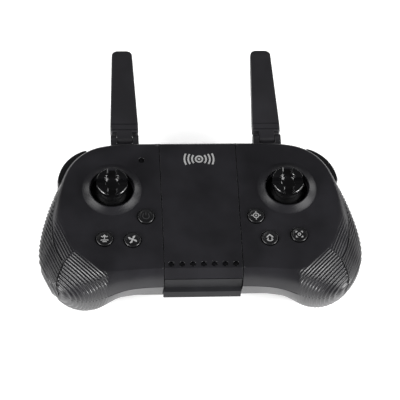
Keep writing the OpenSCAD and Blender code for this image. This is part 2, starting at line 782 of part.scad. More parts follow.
// The right antenna, in place, lying straight back from its hinge
module antenna() {
    half = antenna_w / 2;
    tip = antenna_tip_w / 2;
    tip_round = tip * 0.75;
    arc = [for (a = [0:15:90]) [tip - tip_round + tip_round * cos(a),
        antenna_len - tip_round + tip_round * sin(a)]];
    right = concat([[half - 0.8, paddle_from], [half, paddle_from + 0.8],
        [half, groove_places[1] + 1]], arc);
    color(body_color) translate([antenna_x, hinge_y, hinge_z]) difference() {
        union() {
            translate([0, 0, -antenna_t / 2]) linear_extrude(antenna_t)
                polygon(concat(right, [for (p = reversed(right)) [-p[0], p[1]]]));
            rod_x(knuckle_r, -knuckle_w / 2, knuckle_w / 2);
            box([-knuckle_w / 2, knuckle_w / 2], [0, paddle_from + 1],
                [-antenna_t / 2, antenna_t / 2]);
        }
        rod_x(hinge_pin_r + pin_fit, -knuckle_w, knuckle_w);
        for (y = groove_places) box([-half - 1, half + 1], [y, y + groove_w],
            [antenna_t / 2 - groove_d, antenna_t / 2 + 1]);
        box([-core_w / 2 - core_gap, core_w / 2 + core_gap],
            [core_from - core_gap, core_to + core_gap],
            [-core_t / 2 - core_gap, core_t / 2 + core_gap]);
    }
}

module antenna_core() {
    color([0.7, 0.5, 0.2]) translate([antenna_x, hinge_y, hinge_z])
        box([-core_w / 2, core_w / 2], [core_from, core_to], [-core_t / 2, core_t / 2]);
}

module antenna_bracket() {
    half = antenna_w / 2;
    block_back = -knuckle_r - block_gap;
    block_front = -hinge_out - wall - 2.5;
    color(body_color) translate([antenna_x, hinge_y, hinge_z]) difference() {
        union() {
            box([-half, half], [block_front, block_back], [-bracket_half_h, bracket_half_h]);
            box([-half - 2, half + 2], [block_front - bracket_flange, block_front + tiny],
                [-bracket_half_h, bracket_half_h]);
            for (side = [0, 1]) mirror([side, 0, 0]) {
                rod_x(ear_r, ear_from, half);
                box([ear_from, half], [block_back - tiny, 0], [-bracket_half_h, bracket_half_h]);
            }
        }
        rod_x(hinge_pin_r, -half - 1, half + 1);
        rod_y(lead_r + 0.3, block_front - bracket_flange - 1, block_back + 1);
    }
}

module antenna_pins() {
    color(steel_color) both_sides() translate([antenna_x, hinge_y, hinge_z])
        rod_x(hinge_pin_r, -antenna_w / 2 + 0.2, antenna_w / 2 - 0.2);
}

module antenna_leads() {
    from = [antenna_x, rear_y - wall - bracket_flange - 2.7, hinge_z];
    to = [board_half_x - 8, board_rear_y - 2, board_top_z + lead_r];
    d = to - from;
    color([0.05, 0.05, 0.05]) both_sides() translate(from)
        rotate([0, acos(d[2] / norm(d)), atan2(d[1], d[0])]) rod(lead_r, 0, norm(d));
}

module phone_jaw() {
    color(body_color) difference() {
        along_x([[jaw_in_y, jaw_low_z], [jaw_in_y, jaw_top_z], [jaw_band_y, jaw_top_z],
            [jaw_band_y, jaw_lip_z + 0.4], [jaw_lip_y, jaw_lip_z - 0.6],
            [jaw_lip_y, jaw_low_z + 1.2], [jaw_low_y, jaw_low_z]], cover_w);
        for (x = [-rod_x, rod_x])
            translate([x, 0, rod_z]) rod_y(rod_r, jaw_in_y - rod_grip, jaw_in_y + 1);
    }
}

module clamp_pad(y) {
    color(rubber_color) box([-cover_w / 2 + 3, cover_w / 2 - 3], [y, y + pad_t],
        [jaw_lip_z + 1, jaw_top_z - 1.2]);
}

module jaw_rods() {
    color(steel_color) for (x = [-rod_x, rod_x])
        translate([x, 0, rod_z]) rod_y(rod_r, jaw_in_y - rod_grip, rod_back_y);
}

module rod_clips() {
    color(steel_color) for (x = [-rod_x, rod_x])
        translate([x, 0, rod_z]) difference() {
            rod_y(clip_r, rod_back_y - clip_t - 0.4, rod_back_y - 0.4);
            rod_y(rod_r, rod_back_y - 3, rod_back_y + 1);
        }
}

module rod_guide() {
    half = rod_x + guide_margin;
    color([0.12, 0.12, 0.13]) difference() {
        box([-half, half], [apron_in_y + 0.2, guide_back_y], [floor_z, rod_z + 3.6]);
        for (x = [-rod_x, rod_x])
            translate([x, 0, rod_z]) rod_y(rod_r + pin_fit, apron_in_y - 1, guide_back_y + 1);
    }
}

module housing_screws() {
    color(steel_color) both_sides() for (p = boss_places)
        translate([p[0], p[1], 0]) {
            rod(screw_head_r, boss_head_z - 1.6, boss_head_z);
            rod(screw_r, boss_head_z - tiny, seam_z + screw_reach - 1);
        }
}

module board_screws() {
    color(steel_color) both_sides() for (p = post_places)
        translate(p) {
            rod(foot_screw_head_r, board_z - 1.4, board_z);
            rod(screw_r, board_z - tiny, board_top_z + board_screw_l - 0.5);
        }
}

module left_of() {
    mirror([1, 0, 0]) children();
}

top_housing();
bottom_housing();
center_cover();
left_of() side_grip();  // left_side_grip
side_grip();  // right_side_grip
battery_door();
door_screw();
battery_cells();
battery_contacts();
main_board();
board_chips();
buzzer();
indicator_lights();
status_light();
left_of() bumper();  // left_bumper
bumper();  // right_bumper
bumper_switches();
left_of() gimbal_base();  // left_gimbal_base
gimbal_base();  // right_gimbal_base
left_of() gimbal_ring();  // left_gimbal_ring
gimbal_ring();  // right_gimbal_ring
left_of() stick();  // left_stick
stick();  // right_stick
left_of() stick_dome();  // left_stick_dome
stick_dome();  // right_stick_dome
left_of() stick_cap();  // left_stick_cap
stick_cap();  // right_stick_cap
gimbal_sensors();
gimbal_screws();
face_button(-1, 0);  // power_button
face_button(-1, 1);  // speed_button
face_button(-1, 2);  // landing_button
face_button(1, 0);  // position_button
face_button(1, 1);  // return_button
face_button(1, 2);  // camera_button
keypad(-1);  // left_keypad
keypad(1);  // right_keypad
left_of() antenna();  // left_antenna
antenna();  // right_antenna
left_of() antenna_core();  // left_antenna_core
antenna_core();  // right_antenna_core
antenna_pins();
left_of() antenna_bracket();  // left_antenna_bracket
antenna_bracket();  // right_antenna_bracket
antenna_leads();
phone_jaw();
clamp_pad(jaw_in_y);  // jaw_pad
clamp_pad(apron_out_y - pad_t);  // body_pad
jaw_rods();
rod_clips();
rod_guide();
housing_screws();
board_screws();
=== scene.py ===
import bpy
import math
import numpy as np
from mathutils import Matrix, Vector


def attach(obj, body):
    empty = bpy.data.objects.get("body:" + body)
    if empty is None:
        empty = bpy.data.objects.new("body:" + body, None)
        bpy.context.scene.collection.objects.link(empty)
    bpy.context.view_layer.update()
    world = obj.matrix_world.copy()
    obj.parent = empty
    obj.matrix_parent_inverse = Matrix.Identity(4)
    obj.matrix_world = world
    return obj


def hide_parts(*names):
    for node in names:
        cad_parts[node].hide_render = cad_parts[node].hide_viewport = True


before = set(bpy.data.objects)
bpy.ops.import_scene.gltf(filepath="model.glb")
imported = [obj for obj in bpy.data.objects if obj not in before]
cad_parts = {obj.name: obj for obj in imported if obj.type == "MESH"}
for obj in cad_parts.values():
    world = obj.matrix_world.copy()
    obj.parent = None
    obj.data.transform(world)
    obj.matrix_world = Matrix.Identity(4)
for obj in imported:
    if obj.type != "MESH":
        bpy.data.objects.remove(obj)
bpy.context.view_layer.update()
mm = 0.001
scene = bpy.context.scene
print("frame loaded:", len(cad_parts), "nodes")

# the camera's place and lens
view = {"azimuth": -8.67, "elevation": 59, "roll": -6.88, "distance": 1.1,
        "lens": 172.3, "target": (-0.16 * mm, 4 * mm, 40 * mm)}


def addCamera():
    az, el, roll = (math.radians(view[k]) for k in ("azimuth", "elevation", "roll"))
    back = Vector((math.sin(az) * math.cos(el), -math.cos(az) * math.cos(el), math.sin(el)))
    right = Vector((math.cos(az), math.sin(az), 0))
    up = back.cross(right)
    camRight = math.cos(roll) * right - math.sin(roll) * up
    camUp = math.sin(roll) * right + math.cos(roll) * up
    bpy.ops.object.camera_add()
    camera = bpy.context.object
    camera.matrix_world = Matrix.Translation(Vector(view["target"]) + back * view["distance"]) \
        @ Matrix((camRight, camUp, back)).transposed().to_4x4()
    camera.data.lens = view["lens"]
    camera.data.sensor_width = 36
    camera.data.clip_end = 50
    scene.camera = camera


addCamera()
print("camera placed")


# helpers for building and finishing meshes; sizes in millimetres
def clearSelection():
    if bpy.context.object and bpy.context.object.mode != "OBJECT":
        bpy.ops.object.mode_set(mode="OBJECT")
    for item in list(bpy.context.selected_objects):
        item.select_set(False)


def pick(*pieces):
    clearSelection()
    for piece in pieces:
        piece.select_set(True)
    bpy.context.view_layer.objects.active = pieces[0]


def editAll(piece):
    pick(piece)
    bpy.ops.object.mode_set(mode="EDIT")
    bpy.ops.mesh.select_all(action="SELECT")


def leaveEdit():
    bpy.ops.object.mode_set(mode="OBJECT")


def tidyMesh(piece, reach=1e-6, fill=False):
    editAll(piece)
    bpy.ops.mesh.remove_doubles(threshold=reach)
    if fill:
        bpy.ops.mesh.select_all(action="SELECT")
        bpy.ops.mesh.fill_holes(sides=0)
    bpy.ops.mesh.select_all(action="SELECT")
    bpy.ops.mesh.normals_make_consistent(inside=False)
    leaveEdit()
    return piece


def gridPiece(name, points, fill=False):
    # rows x columns x 3 points in millimetres
    rows, cols = points.shape[:2]
    clearSelection()
    bpy.ops.mesh.primitive_grid_add(x_subdivisions=cols - 1, y_subdivisions=rows - 1, size=2)
    piece = bpy.context.object
    piece.name = piece.data.name = name
    flat = np.zeros(len(piece.data.vertices) * 3)
    piece.data.vertices.foreach_get("co", flat)
    flat = flat.reshape(-1, 3)
    col = np.rint((flat[:, 0] + 1) / 2 * (cols - 1)).astype(int)
    row = np.rint((flat[:, 1] + 1) / 2 * (rows - 1)).astype(int)
    piece.data.vertices.foreach_set("co", (points[row, col] * mm).ravel())
    piece.data.update()
    return tidyMesh(piece, 2e-6, fill)


def loopPiece(name, points, face=True):
    # a flat or bent loop of points in millimetres, filled or open
    clearSelection()
    bpy.ops.mesh.primitive_circle_add(vertices=len(points), fill_type="NGON" if face else "NOTHING")
    piece = bpy.context.object
    piece.name = piece.data.name = name
    piece.data.vertices.foreach_set("co", (np.array(points, float) * mm).ravel())
    piece.data.update()
    return piece


def prism(name, points, move):
    # a loop of points in millimetres drawn out along a vector
    piece = loopPiece(name, points)
    editAll(piece)
    bpy.ops.mesh.extrude_region_move(TRANSFORM_OT_translate={"value": Vector(move) * mm})
    bpy.ops.mesh.select_all(action="SELECT")
    bpy.ops.mesh.normals_make_consistent(inside=False)
    leaveEdit()
    return piece


def lathe(name, profile, at=(0, 0, 0), steps=64, closed=False):
    # spins (radius, height) pairs about the vertical through a place
    piece = loopPiece(name, [(r, 0, z) for r, z in profile], face=False)
    editAll(piece)
    if not closed:
        leaveEdit()
        n = len(profile)
        for edge in piece.data.edges:
            edge.select = set(edge.vertices) == {0, n - 1}
        for vertex in piece.data.vertices:
            vertex.select = False
        bpy.ops.object.mode_set(mode="EDIT")
        bpy.ops.mesh.select_mode(type="EDGE")
        bpy.ops.mesh.delete(type="EDGE")
        bpy.ops.mesh.select_mode(type="VERT")
        bpy.ops.mesh.select_all(action="SELECT")
    bpy.ops.mesh.spin(steps=steps, angle=2 * math.pi, center=(0, 0, 0), axis=(0, 0, 1))
    leaveEdit()
    tidyMesh(piece, 1e-6)
    piece.data.transform(Matrix.Translation(Vector(at) * mm))
    return piece


def block(name, x, y, z):
    clearSelection()
    low, high = Vector((x[0], y[0], z[0])), Vector((x[1], y[1], z[1]))
    bpy.ops.mesh.primitive_cube_add(size=1, location=(low + high) / 2 * mm, scale=(high - low) * mm)
    piece = bpy.context.object
    piece.name = piece.data.name = name
    bpy.ops.object.transform_apply(location=True, rotation=True, scale=True)
    return piece


def joined(name, pieces):
    pick(*pieces)
    if len(pieces) > 1:
        bpy.ops.object.join()
    piece = bpy.context.object
    piece.name = piece.data.name = name
    return piece


def turned(piece, angle, axis="Z"):
    piece.data.transform(Matrix.Rotation(angle, 4, axis))
    return piece


def moved(piece, by):
    piece.data.transform(Matrix.Translation(Vector(by) * mm))
    return piece


def mirrored(piece, name):
    # a copy on the other side, with its own mesh
    other = piece.copy()
    other.data = piece.data.copy()
    other.name = other.data.name = name
    scene.collection.objects.link(other)
    other.data.transform(Matrix.Diagonal((-1, 1, 1, 1)))
    other.data.flip_normals()
    return other


def copied(piece, name, by=(0, 0, 0)):
    other = piece.copy()
    other.data = piece.data.copy()
    other.name = other.data.name = name
    scene.collection.objects.link(other)
    return moved(other, by)


def applied(piece, kind, **values):
    pick(piece)
    bpy.ops.object.modifier_add(type=kind)
    modifier = piece.modifiers[-1]
    for key, value in values.items():
        setattr(modifier, key, value)
    bpy.ops.object.modifier_apply(modifier=modifier.name)
    return piece


def combined(piece, other, operation="DIFFERENCE"):
    applied(piece, "BOOLEAN", operation=operation, solver="MANIFOLD", object=other)
    bpy.data.objects.remove(other)
    return piece


def rounded(piece, width, segments=3, angle=35):
    return applied(piece, "BEVEL", width=width * mm, segments=segments, limit_method="ANGLE",
                   angle_limit=math.radians(angle), use_clamp_overlap=True, harden_normals=False)


def finished(piece, name, finish, body="root", nodes=(), angle=35):
    piece.name = piece.data.name = name
    pick(piece)
    bpy.ops.object.shade_smooth_by_angle(angle=math.radians(angle))
    applied(piece, "WEIGHTED_NORMAL", keep_sharp=True, weight=50)
    piece.data.materials.clear()
    for material in finish if isinstance(finish, (list, tuple)) else [finish]:
        piece.data.materials.append(material)
    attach(piece, body)
    if nodes:
        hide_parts(*nodes)
    return piece


# plastics, rubbers and metals
def finishOf(name, color, roughness=0.4, metallic=0.0, grain=0.04, grainSize=0.35, mottle=0.25,
             coat=0.0, spread=0.06, emission=0.0, scratch=0.0, specular=0.5):
    # one plastic, rubber or metal: colour mottling, fine grain in bump and roughness
    material = bpy.data.materials.new(name)
    material.use_nodes = True
    nodes, links = material.node_tree.nodes, material.node_tree.links
    shader = nodes["Principled BSDF"]
    place = nodes.new("ShaderNodeTexCoord")
    wide = nodes.new("ShaderNodeTexNoise")
    wide.inputs["Scale"].default_value = 45
    wide.inputs["Detail"].default_value = 4
    fine = nodes.new("ShaderNodeTexNoise")
    fine.inputs["Scale"].default_value = 1000 / grainSize
    fine.inputs["Detail"].default_value = 3
    for noise in (wide, fine):
        links.new(place.outputs["Object"], noise.inputs["Vector"])
    ramp = nodes.new("ShaderNodeValToRGB")
    dark = [c * (1 - mottle) for c in color]
    light = [min(1, c * (1 + mottle)) for c in color]
    ramp.color_ramp.elements[0].color = (*dark, 1)
    ramp.color_ramp.elements[1].color = (*light, 1)
    ramp.color_ramp.elements[0].position = 0.35
    ramp.color_ramp.elements[1].position = 0.65
    links.new(wide.outputs["Fac"], ramp.inputs["Fac"])
    links.new(ramp.outputs["Color"], shader.inputs["Base Color"])
    rough = nodes.new("ShaderNodeMapRange")
    rough.inputs["To Min"].default_value = max(0.02, roughness - spread)
    rough.inputs["To Max"].default_value = min(1, roughness + spread)
    links.new(fine.outputs["Fac"], rough.inputs["Value"])
    links.new(rough.outputs["Result"], shader.inputs["Roughness"])
    bump = nodes.new("ShaderNodeBump")
    bump.inputs["Strength"].default_value = 1
    bump.inputs["Distance"].default_value = grain * mm
    links.new(fine.outputs["Fac"], bump.inputs["Height"])
    if scratch:
        stretch = nodes.new("ShaderNodeMapping")
        stretch.inputs["Scale"].default_value = (30, 900, 900)
        brushed = nodes.new("ShaderNodeTexNoise")
        brushed.inputs["Scale"].default_value = 3
        links.new(place.outputs["Object"], stretch.inputs["Vector"])
        links.new(stretch.outputs["Vector"], brushed.inputs["Vector"])
        second = nodes.new("ShaderNodeBump")
        second.inputs["Distance"].default_value = scratch * mm
        links.new(brushed.outputs["Fac"], second.inputs["Height"])
        links.new(second.outputs["Normal"], bump.inputs["Normal"])
    links.new(bump.outputs["Normal"], shader.inputs["Normal"])
    shader.inputs["Metallic"].default_value = metallic
    shader.inputs["Specular IOR Level"].default_value = specular
    shader.inputs["Coat Weight"].default_value = coat
    shader.inputs["Coat Roughness"].default_value = 0.08
    if emission:
        shader.inputs["Emission Color"].default_value = (*color, 1)
        shader.inputs["Emission Strength"].default_value = emission
    return material


satinBlack = finishOf("satinBlack", (0.0102, 0.0099, 0.0117), 0.33, grain=0.014, grainSize=0.4,
                      specular=0.4)
ridgeBlack = finishOf("ridgeBlack", (0.0095, 0.0092, 0.0104), 0.3, grain=0.012, grainSize=0.4,
                      specular=0.32)
antennaBlack = finishOf("antennaBlack", (0.0096, 0.0092, 0.0112), 0.46, grain=0.03, grainSize=0.5)
keyBlack = finishOf("keyBlack", (0.006, 0.006, 0.0066), 0.32, grain=0.01, grainSize=0.5)
stickGloss = finishOf("stickGloss", (0.003, 0.003, 0.0034), 0.13, grain=0.006, grainSize=0.9,
                      coat=0.6, spread=0.03)
# the stick domes get a darker black than the housing as painted shade, standing in for the shade
# down in the stick wells under the caps
domeShadeBlack = finishOf("domeShadeBlack", (0.0028, 0.0028, 0.0032), 0.5, grain=0.02, grainSize=0.5,
                     specular=0.12)
jawBlack = finishOf("jawBlack", (0.0085, 0.0085, 0.0098), 0.5, grain=0.018, grainSize=0.4,
                    specular=0.12)
printWhite = finishOf("printWhite", (0.26, 0.26, 0.26), 0.5, grain=0.01, grainSize=0.3, mottle=0.08)
printGrey = finishOf("printGrey", (0.02, 0.02, 0.022), 0.5, grain=0.01, grainSize=0.3, mottle=0.1)
lensDark = finishOf("lensDark", (0.004, 0.004, 0.005), 0.28, grain=0.004, grainSize=0.8,
                    specular=0.35)
steel = finishOf("steel", (0.56, 0.56, 0.58), 0.24, metallic=1, grain=0.004, grainSize=0.6,
                 mottle=0.08, scratch=0.01)
springSteel = finishOf("springSteel", (0.62, 0.6, 0.56), 0.3, metallic=1, grain=0.004,
                       mottle=0.12)
brass = finishOf("brass", (0.72, 0.5, 0.22), 0.32, metallic=1, grain=0.005, mottle=0.15)
rubber = finishOf("rubber", (0.022, 0.022, 0.023), 0.72, grain=0.05, grainSize=0.6, specular=0.3)
innerBlack = finishOf("innerBlack", (0.02, 0.02, 0.021), 0.55, grain=0.03, grainSize=0.5)
boardGreen = finishOf("boardGreen", (0.012, 0.11, 0.045), 0.38, grain=0.02, grainSize=1.2,
                      mottle=0.3)
chipBlack = finishOf("chipBlack", (0.016, 0.016, 0.017), 0.6, grain=0.03, grainSize=0.3)
sensorBlue = finishOf("sensorBlue", (0.012, 0.04, 0.16), 0.42, grain=0.02)
cellSleeve = finishOf("cellSleeve", (0.09, 0.1, 0.13), 0.3, grain=0.01, grainSize=1.5, coat=0.3)
leadBlack = finishOf("leadBlack", (0.014, 0.014, 0.014), 0.5, grain=0.03)
print("finishes made")

# Right half, from the middle of the rear round to the middle of the front: widest line x, y;
# edge of the flat face x, y; lowest line x, y, share of the underside's height; flat underside x, y
halfOutline = [
    (0, 46, 0, 41.2, 0, 40, 1, 0, 37), (26, 46, 26, 41.2, 26, 40, 1, 24, 37),
    (44, 45.8, 44, 41, 44, 40, 1, 40, 37), (58, 43.6, 57, 39.6, 55, 38, 1, 50, 35),
    (68, 38.8, 65.5, 35.6, 62, 34, 1, 55, 31), (75, 32, 71.5, 29.8, 67.5, 28, 1, 57, 26),
    (79, 24.5, 75.6, 23, 70, 22, 0.97, 57, 20), (82, 16.5, 77.8, 16, 72, 15.5, 0.84, 56, 14),
    (86.2, 8, 79.2, 8.5, 75, 7.5, 0.6, 54.5, 8), (89.2, -1, 79.4, 0, 77, -1, 0.34, 52.5, 2),
    (91.6, -10, 78.6, -8.5, 78, -10, 0.12, 50.5, -5), (93, -19.5, 76.8, -17, 78, -19, 0, 48.5, -12),
    (92.9, -28, 74, -23.5, 77.5, -27, 0, 46.8, -19),
    (90.2, -37, 70.5, -28, 75.5, -33.5, 0, 45.3, -25.5),
    (85.2, -45, 66.8, -31.5, 72, -38, 0, 44, -31), (78.2, -51, 63, -34.5, 68, -40.5, 0, 43, -34.5),
    (70, -53.6, 59.8, -37.6, 63.5, -41, 0, 42, -37),
    (62, -53.2, 57.2, -40.4, 59, -41, 0.15, 40.6, -39),
    (54.5, -51.2, 53, -41.9, 53.5, -41.5, 0.42, 38, -40.4),
    (47, -49, 46, -41.6, 46.5, -42, 0.75, 34.5, -41.2),
    (38, -47.4, 38, -40.9, 38, -42.3, 1, 30, -41.6),
    (30, -46.8, 30, -40.5, 30, -42.3, 1, 25, -41.6),
    (22, -46.6, 22, -40.4, 22, -42.3, 1, 18, -41.6), (0, -46.6, 0, -40.4, 0, -42.3, 1, 0, -41.6)]
housing = {"faceZ": 40, "wall": 2, "seamZ": 26, "slabZ": 12, "seamGroove": 0.28, "fair": 0.75,
           "gripFrom": 7.5, "gripTo": 14.5, "gripNear": 12.75, "gripBend": 13.35,
           "gripDepth": 1.75, "gripTop": 30, "gripLow": 60,
           "seamRise": 3.2, "stickX": 50.597, "stickY": 11.6, "wellR": 12.4, "panelW": 45}
# the outline was drawn on a frame 93.2 mm half wide and is used 93 mm half wide
widen = 93 / 93.2
lastRow = len(halfOutline) - 1
ridges = {"pitch": 1.6, "sidePitch": 3.9, "depth": 0.52, "cornerTo": 17.9, "fadeX": (52, 57.5),
          "sideSlope": 2.3, "sideDrop": 0.6, "topShare": 0.45}


def fairControls():
    half = np.array(halfOutline, float)
    flip = half[lastRow - 1:0:-1].copy()
    flip[:, [0, 2, 4, 7]] *= -1
    loop = np.vstack([half, flip])
    loop[:, [0, 2, 4, 7]] *= widen
    bend = np.roll(loop, 1, 0) - 2 * loop + np.roll(loop, -1, 0)
    return loop - housing["fair"] * bend / 6


controls = fairControls()


def outlineAt(t):
    t = np.asarray(t, float)
    i = np.floor(t).astype(int)
    u = (t - i)[..., None]
    n = len(controls)
    a, b, c, d = (controls[(i + k) % n] for k in (-1, 0, 1, 2))
    return ((1 - u) ** 3 * a + (3 * u ** 3 - 6 * u ** 2 + 4) * b
            + (-3 * u ** 3 + 3 * u ** 2 + 3 * u + 1) * c + u ** 3 * d) / 6


def inwardAt(t):
    d = outlineAt(np.asarray(t) + 0.05)[..., :2] - outlineAt(np.asarray(t) - 0.05)[..., :2]
    n = np.stack([d[..., 1], -d[..., 0]], -1)
    return n / np.linalg.norm(n, axis=-1, keepdims=True)


def rimAt(t, depth=0.0):
    return outlineAt(t)[..., :2] + depth * inwardAt(t)


def halfT(t):
    t = np.asarray(t) % len(controls)
    return np.minimum(t, len(controls) - t)


def seamAt(t):
    # the seam rises a little along the front, between the grips
    return housing["seamZ"] + housing["seamRise"] * step(halfT(t), 17.2, 19.8)


def flatness(t):
    # 0 where the side is round, 1 along the front, where it is nearly flat
    return step(halfT(t), 17.0, 20.0)


def bent(a, flat, ease=0.62):
    # sine and 1 - cosine of a section's angle, drawn towards a straight slope
    across, down = np.sin(a), 1 - np.cos(a)
    u = a / (math.pi / 2)
    return across + (u - across) * ease * flat, down + (u - down) * ease * flat


def topPoint(t, angle, inset, height):
    r, n = outlineAt(t), inwardAt(t)
    across, down = bent(np.radians(angle), flatness(t))
    o = r[..., 0:2] + inset[..., None] * n
    f = r[..., 2:4] + 0.6 * inset[..., None] * n
    p = f + (o - f) * across[..., None]
    return np.concatenate([p, (height - (height - seamAt(t)) * down)[..., None]], -1)


def lowPoint(t, angle, inset, lift):
    r, n = outlineAt(t), inwardAt(t)
    across, down = bent(np.radians(90 - angle), flatness(t), 0.9)
    o = r[..., 0:2] + inset[..., None] * n
    low = r[..., 4:6] + 0.6 * inset[..., None] * n
    p = low + (o - low) * across[..., None]
    z = np.clip(r[..., 6], 0, 1) * housing["slabZ"] + lift
    return np.concatenate([p, (z + (seamAt(t) - z) * down)[..., None]], -1)


def risePoint(t, u, inset, lift):
    r, n = outlineAt(t), inwardAt(t)
    z = np.clip(r[..., 6], 0, 1) * housing["slabZ"] + lift
    low = r[..., 4:6] + 0.6 * inset[..., None] * n
    p = low + (r[..., 7:9] - low) * u
    z = z + (housing["slabZ"] + lift - z) * u * u * (3 - 2 * u)
    return np.concatenate([p, z[..., None]], -1)


def step(x, low, high):
    u = np.clip((x - low) / (high - low), 0, 1)
    return u * u * (3 - 2 * u)


def grooveAt(across):
    wave = 0.5 - 0.5 * np.cos(2 * math.pi * across / ridges["pitch"])
    return ridges["depth"] * wave ** 1.1


def ridgeCut(points):
    # depth of the corner's slanting ridges, which stand upright and run outwards
    return grooveAt((points[..., 1] - np.abs(points[..., 0])) / math.sqrt(2))


def sideRidgeCut(points):
    # depth of the side's ridges, which run more nearly fore and aft
    x, y, z = points[..., 0], points[..., 1], points[..., 2]
    drop = housing["faceZ"] - z
    across = y - ridges["sideSlope"] * np.abs(x) - ridges["sideDrop"] * drop
    return grooveAt(across * ridges["pitch"] / ridges["sidePitch"])


def surfaceNormals(points):
    along = np.gradient(points, axis=1)
    down = np.gradient(points, axis=0)
    n = np.cross(down, along)
    n /= np.maximum(np.linalg.norm(n, axis=-1, keepdims=True), 1e-9)
    centre = points.reshape(-1, 3).mean(0)
    sign = np.sign((n * (points - centre)).sum(-1, keepdims=True).sum())
    return n * (sign or 1)


def bodyStations():
    coarse = list(np.arange(0, 23.001, 0.125))
    g0, g1 = housing["gripFrom"], housing["gripTo"]
    coarse = [t for t in coarse if not 9.29 < t < 18.2 and abs(t - g0) > 0.02]
    fine = list(np.arange(9.3, 12.7, 0.06)) + list(np.arange(12.7, 18.2, 0.028))
    fine = [t for t in fine if abs(t - g1) > 0.03]
    edges = [g0 - 0.01, g0 + 0.01, g1 - 0.01, g1 + 0.01]
    half = sorted(coarse + fine + edges)
    other = [len(controls) - t for t in reversed(half)][1:]
    return np.array(half + other)


stations = bodyStations()


def gripEnd(angle):
    # where the side grip's front edge crosses each section: it slants back towards the face
    top, near, high = housing["gripTop"], housing["gripNear"], housing["gripBend"]
    if angle <= top:
        return near + (high - near) * angle / top
    return high + (housing["gripTo"] - high) * ((angle - top) / (90 - top)) ** 0.75


def gripInset(t, on, end=None):
    h = halfT(t)
    end = housing["gripTo"] if end is None else end
    under = (h > housing["gripFrom"]) & (h < end) & on
    return np.where(under, housing["gripDepth"], 0.0)


def cornerMask(points, t, ends):
    # where the corner's ridges are: from the side grip's front edge to the front slope
    h = halfT(t) + np.zeros(points.shape[:2])
    start = np.array(ends)[:, None] + 0.02
    side = step(h, start, start + 0.1) * (1 - step(h, ridges["cornerTo"], ridges["cornerTo"] + 0.3))
    return side * step(np.abs(points[..., 0]), *ridges["fadeX"])


def topShell():
    angles = np.concatenate([np.linspace(0, 29.8, 36), np.linspace(30.2, 88.2, 70)])
    ends = [gripEnd(a) for a in angles]
    outer = np.array([topPoint(stations, a, gripInset(stations, a > 30, end), housing["faceZ"])
                      for a, end in zip(angles, ends)])
    fadeIn = step(angles, 2, 9)[:, None]
    corner = cornerMask(outer, stations, ends) * fadeIn
    h, last = halfT(stations)[None, :], np.array(ends)[:, None]
    side = step(h, 9.4, 11.5) * (1 - step(h, last - 0.06, last)) * fadeIn * (angles < 30)[:, None]
    cut = ridgeCut(outer) * corner + ridges["topShare"] * sideRidgeCut(outer) * side
    outer -= surfaceNormals(outer) * cut[..., None]
    groove = housing["seamGroove"]
    rim = topPoint(stations, 90, gripInset(stations, True) + groove, housing["faceZ"])
    r = outlineAt(stations)
    shrink = np.concatenate([r[:, 2:4] + 0.7 * inwardAt(stations),
                             np.full((len(stations), 1), housing["faceZ"])], -1)
    wall, ceiling = housing["wall"], housing["faceZ"] - housing["wall"]
    inner = [topPoint(stations, a, gripInset(stations, a > 30, gripEnd(a)) + wall, ceiling)
             for a in (90, 80, 65, 50, 35, 30.2, 29.8, 15, 0)]
    return gridPiece("topShell", np.array([shrink, *outer, rim, *inner]), fill=True)


def ringCutter(r, z0, z1, at, flare=0.25, steps=64):
    # a round cutter whose mouth at the face is flared
    face = housing["faceZ"]
    return lathe("cutter", [(0, z0), (r, z0), (r, face - flare), (r + flare + 0.05, face + 0.05),
                            (r + flare + 0.05, z1), (0, z1)], at, steps)


def rimStrip(t0, t1, outer, inner, z0, z1):
    # a strip that follows the outline between two depths
    ts = np.linspace(t0, t1, 40)
    loop = np.vstack([rimAt(ts, outer), rimAt(ts, inner)[::-1]])
    return prism("strip", [(x, y, z0) for x, y in loop], (0, 0, z1 - z0))


window = {"from": 3.43, "to": 6.87, "outside": -8, "inside": 3.5, "low": 21.6, "high": 35.4}


def bumperWindow():
    return rimStrip(*(window[k] for k in ("from", "to", "outside", "inside", "low", "high")))


def bothSides(piece):
    return [piece, mirrored(piece, piece.name + "Left")]


keys = {"r": 4.7, "gap": 0.35, "top": 40.9, "stem": 35.6,
        "places": {"power": (-31.6, -6.6), "speed": (-39.7, -21.9), "landing": (-55.6, -21),
                   "position": (31.5, -7), "return": (38.5, -21.6), "camera": (55.5, -19.7)}}
statusLight = {"at": (-33, 31.3), "r": 1.58, "holeR": 1.7}
antenna = {"x": 42, "hingeY": 49.9, "hingeZ": 32, "length": 63, "width": 16.4, "tipWidth": 12.4,
           "thick": 6, "knuckle": 3, "from": 4.1, "neck": 4.5, "bore": 1.55, "ear": 3.2}


def crestRing():
    w, z = housing["wellR"], housing["faceZ"]
    slope = [(w + 0.55 + 4.9 * u, z + 2.0 * (1 - u) ** 1.35 - 0.12 * u)
             for u in np.linspace(0, 1, 16)]
    profile = [(w, z - 3), (w, z + 1.6), (w + 0.12, z + 1.88), (w + 0.3, z + 1.98)] + slope \
        + [(w + 5.6, z - 0.5), (w + 5.6, z - 1), (w + 1.2, z - 3)]
    return lathe("crest", profile, (housing["stickX"], housing["stickY"], 0), 128, closed=True)


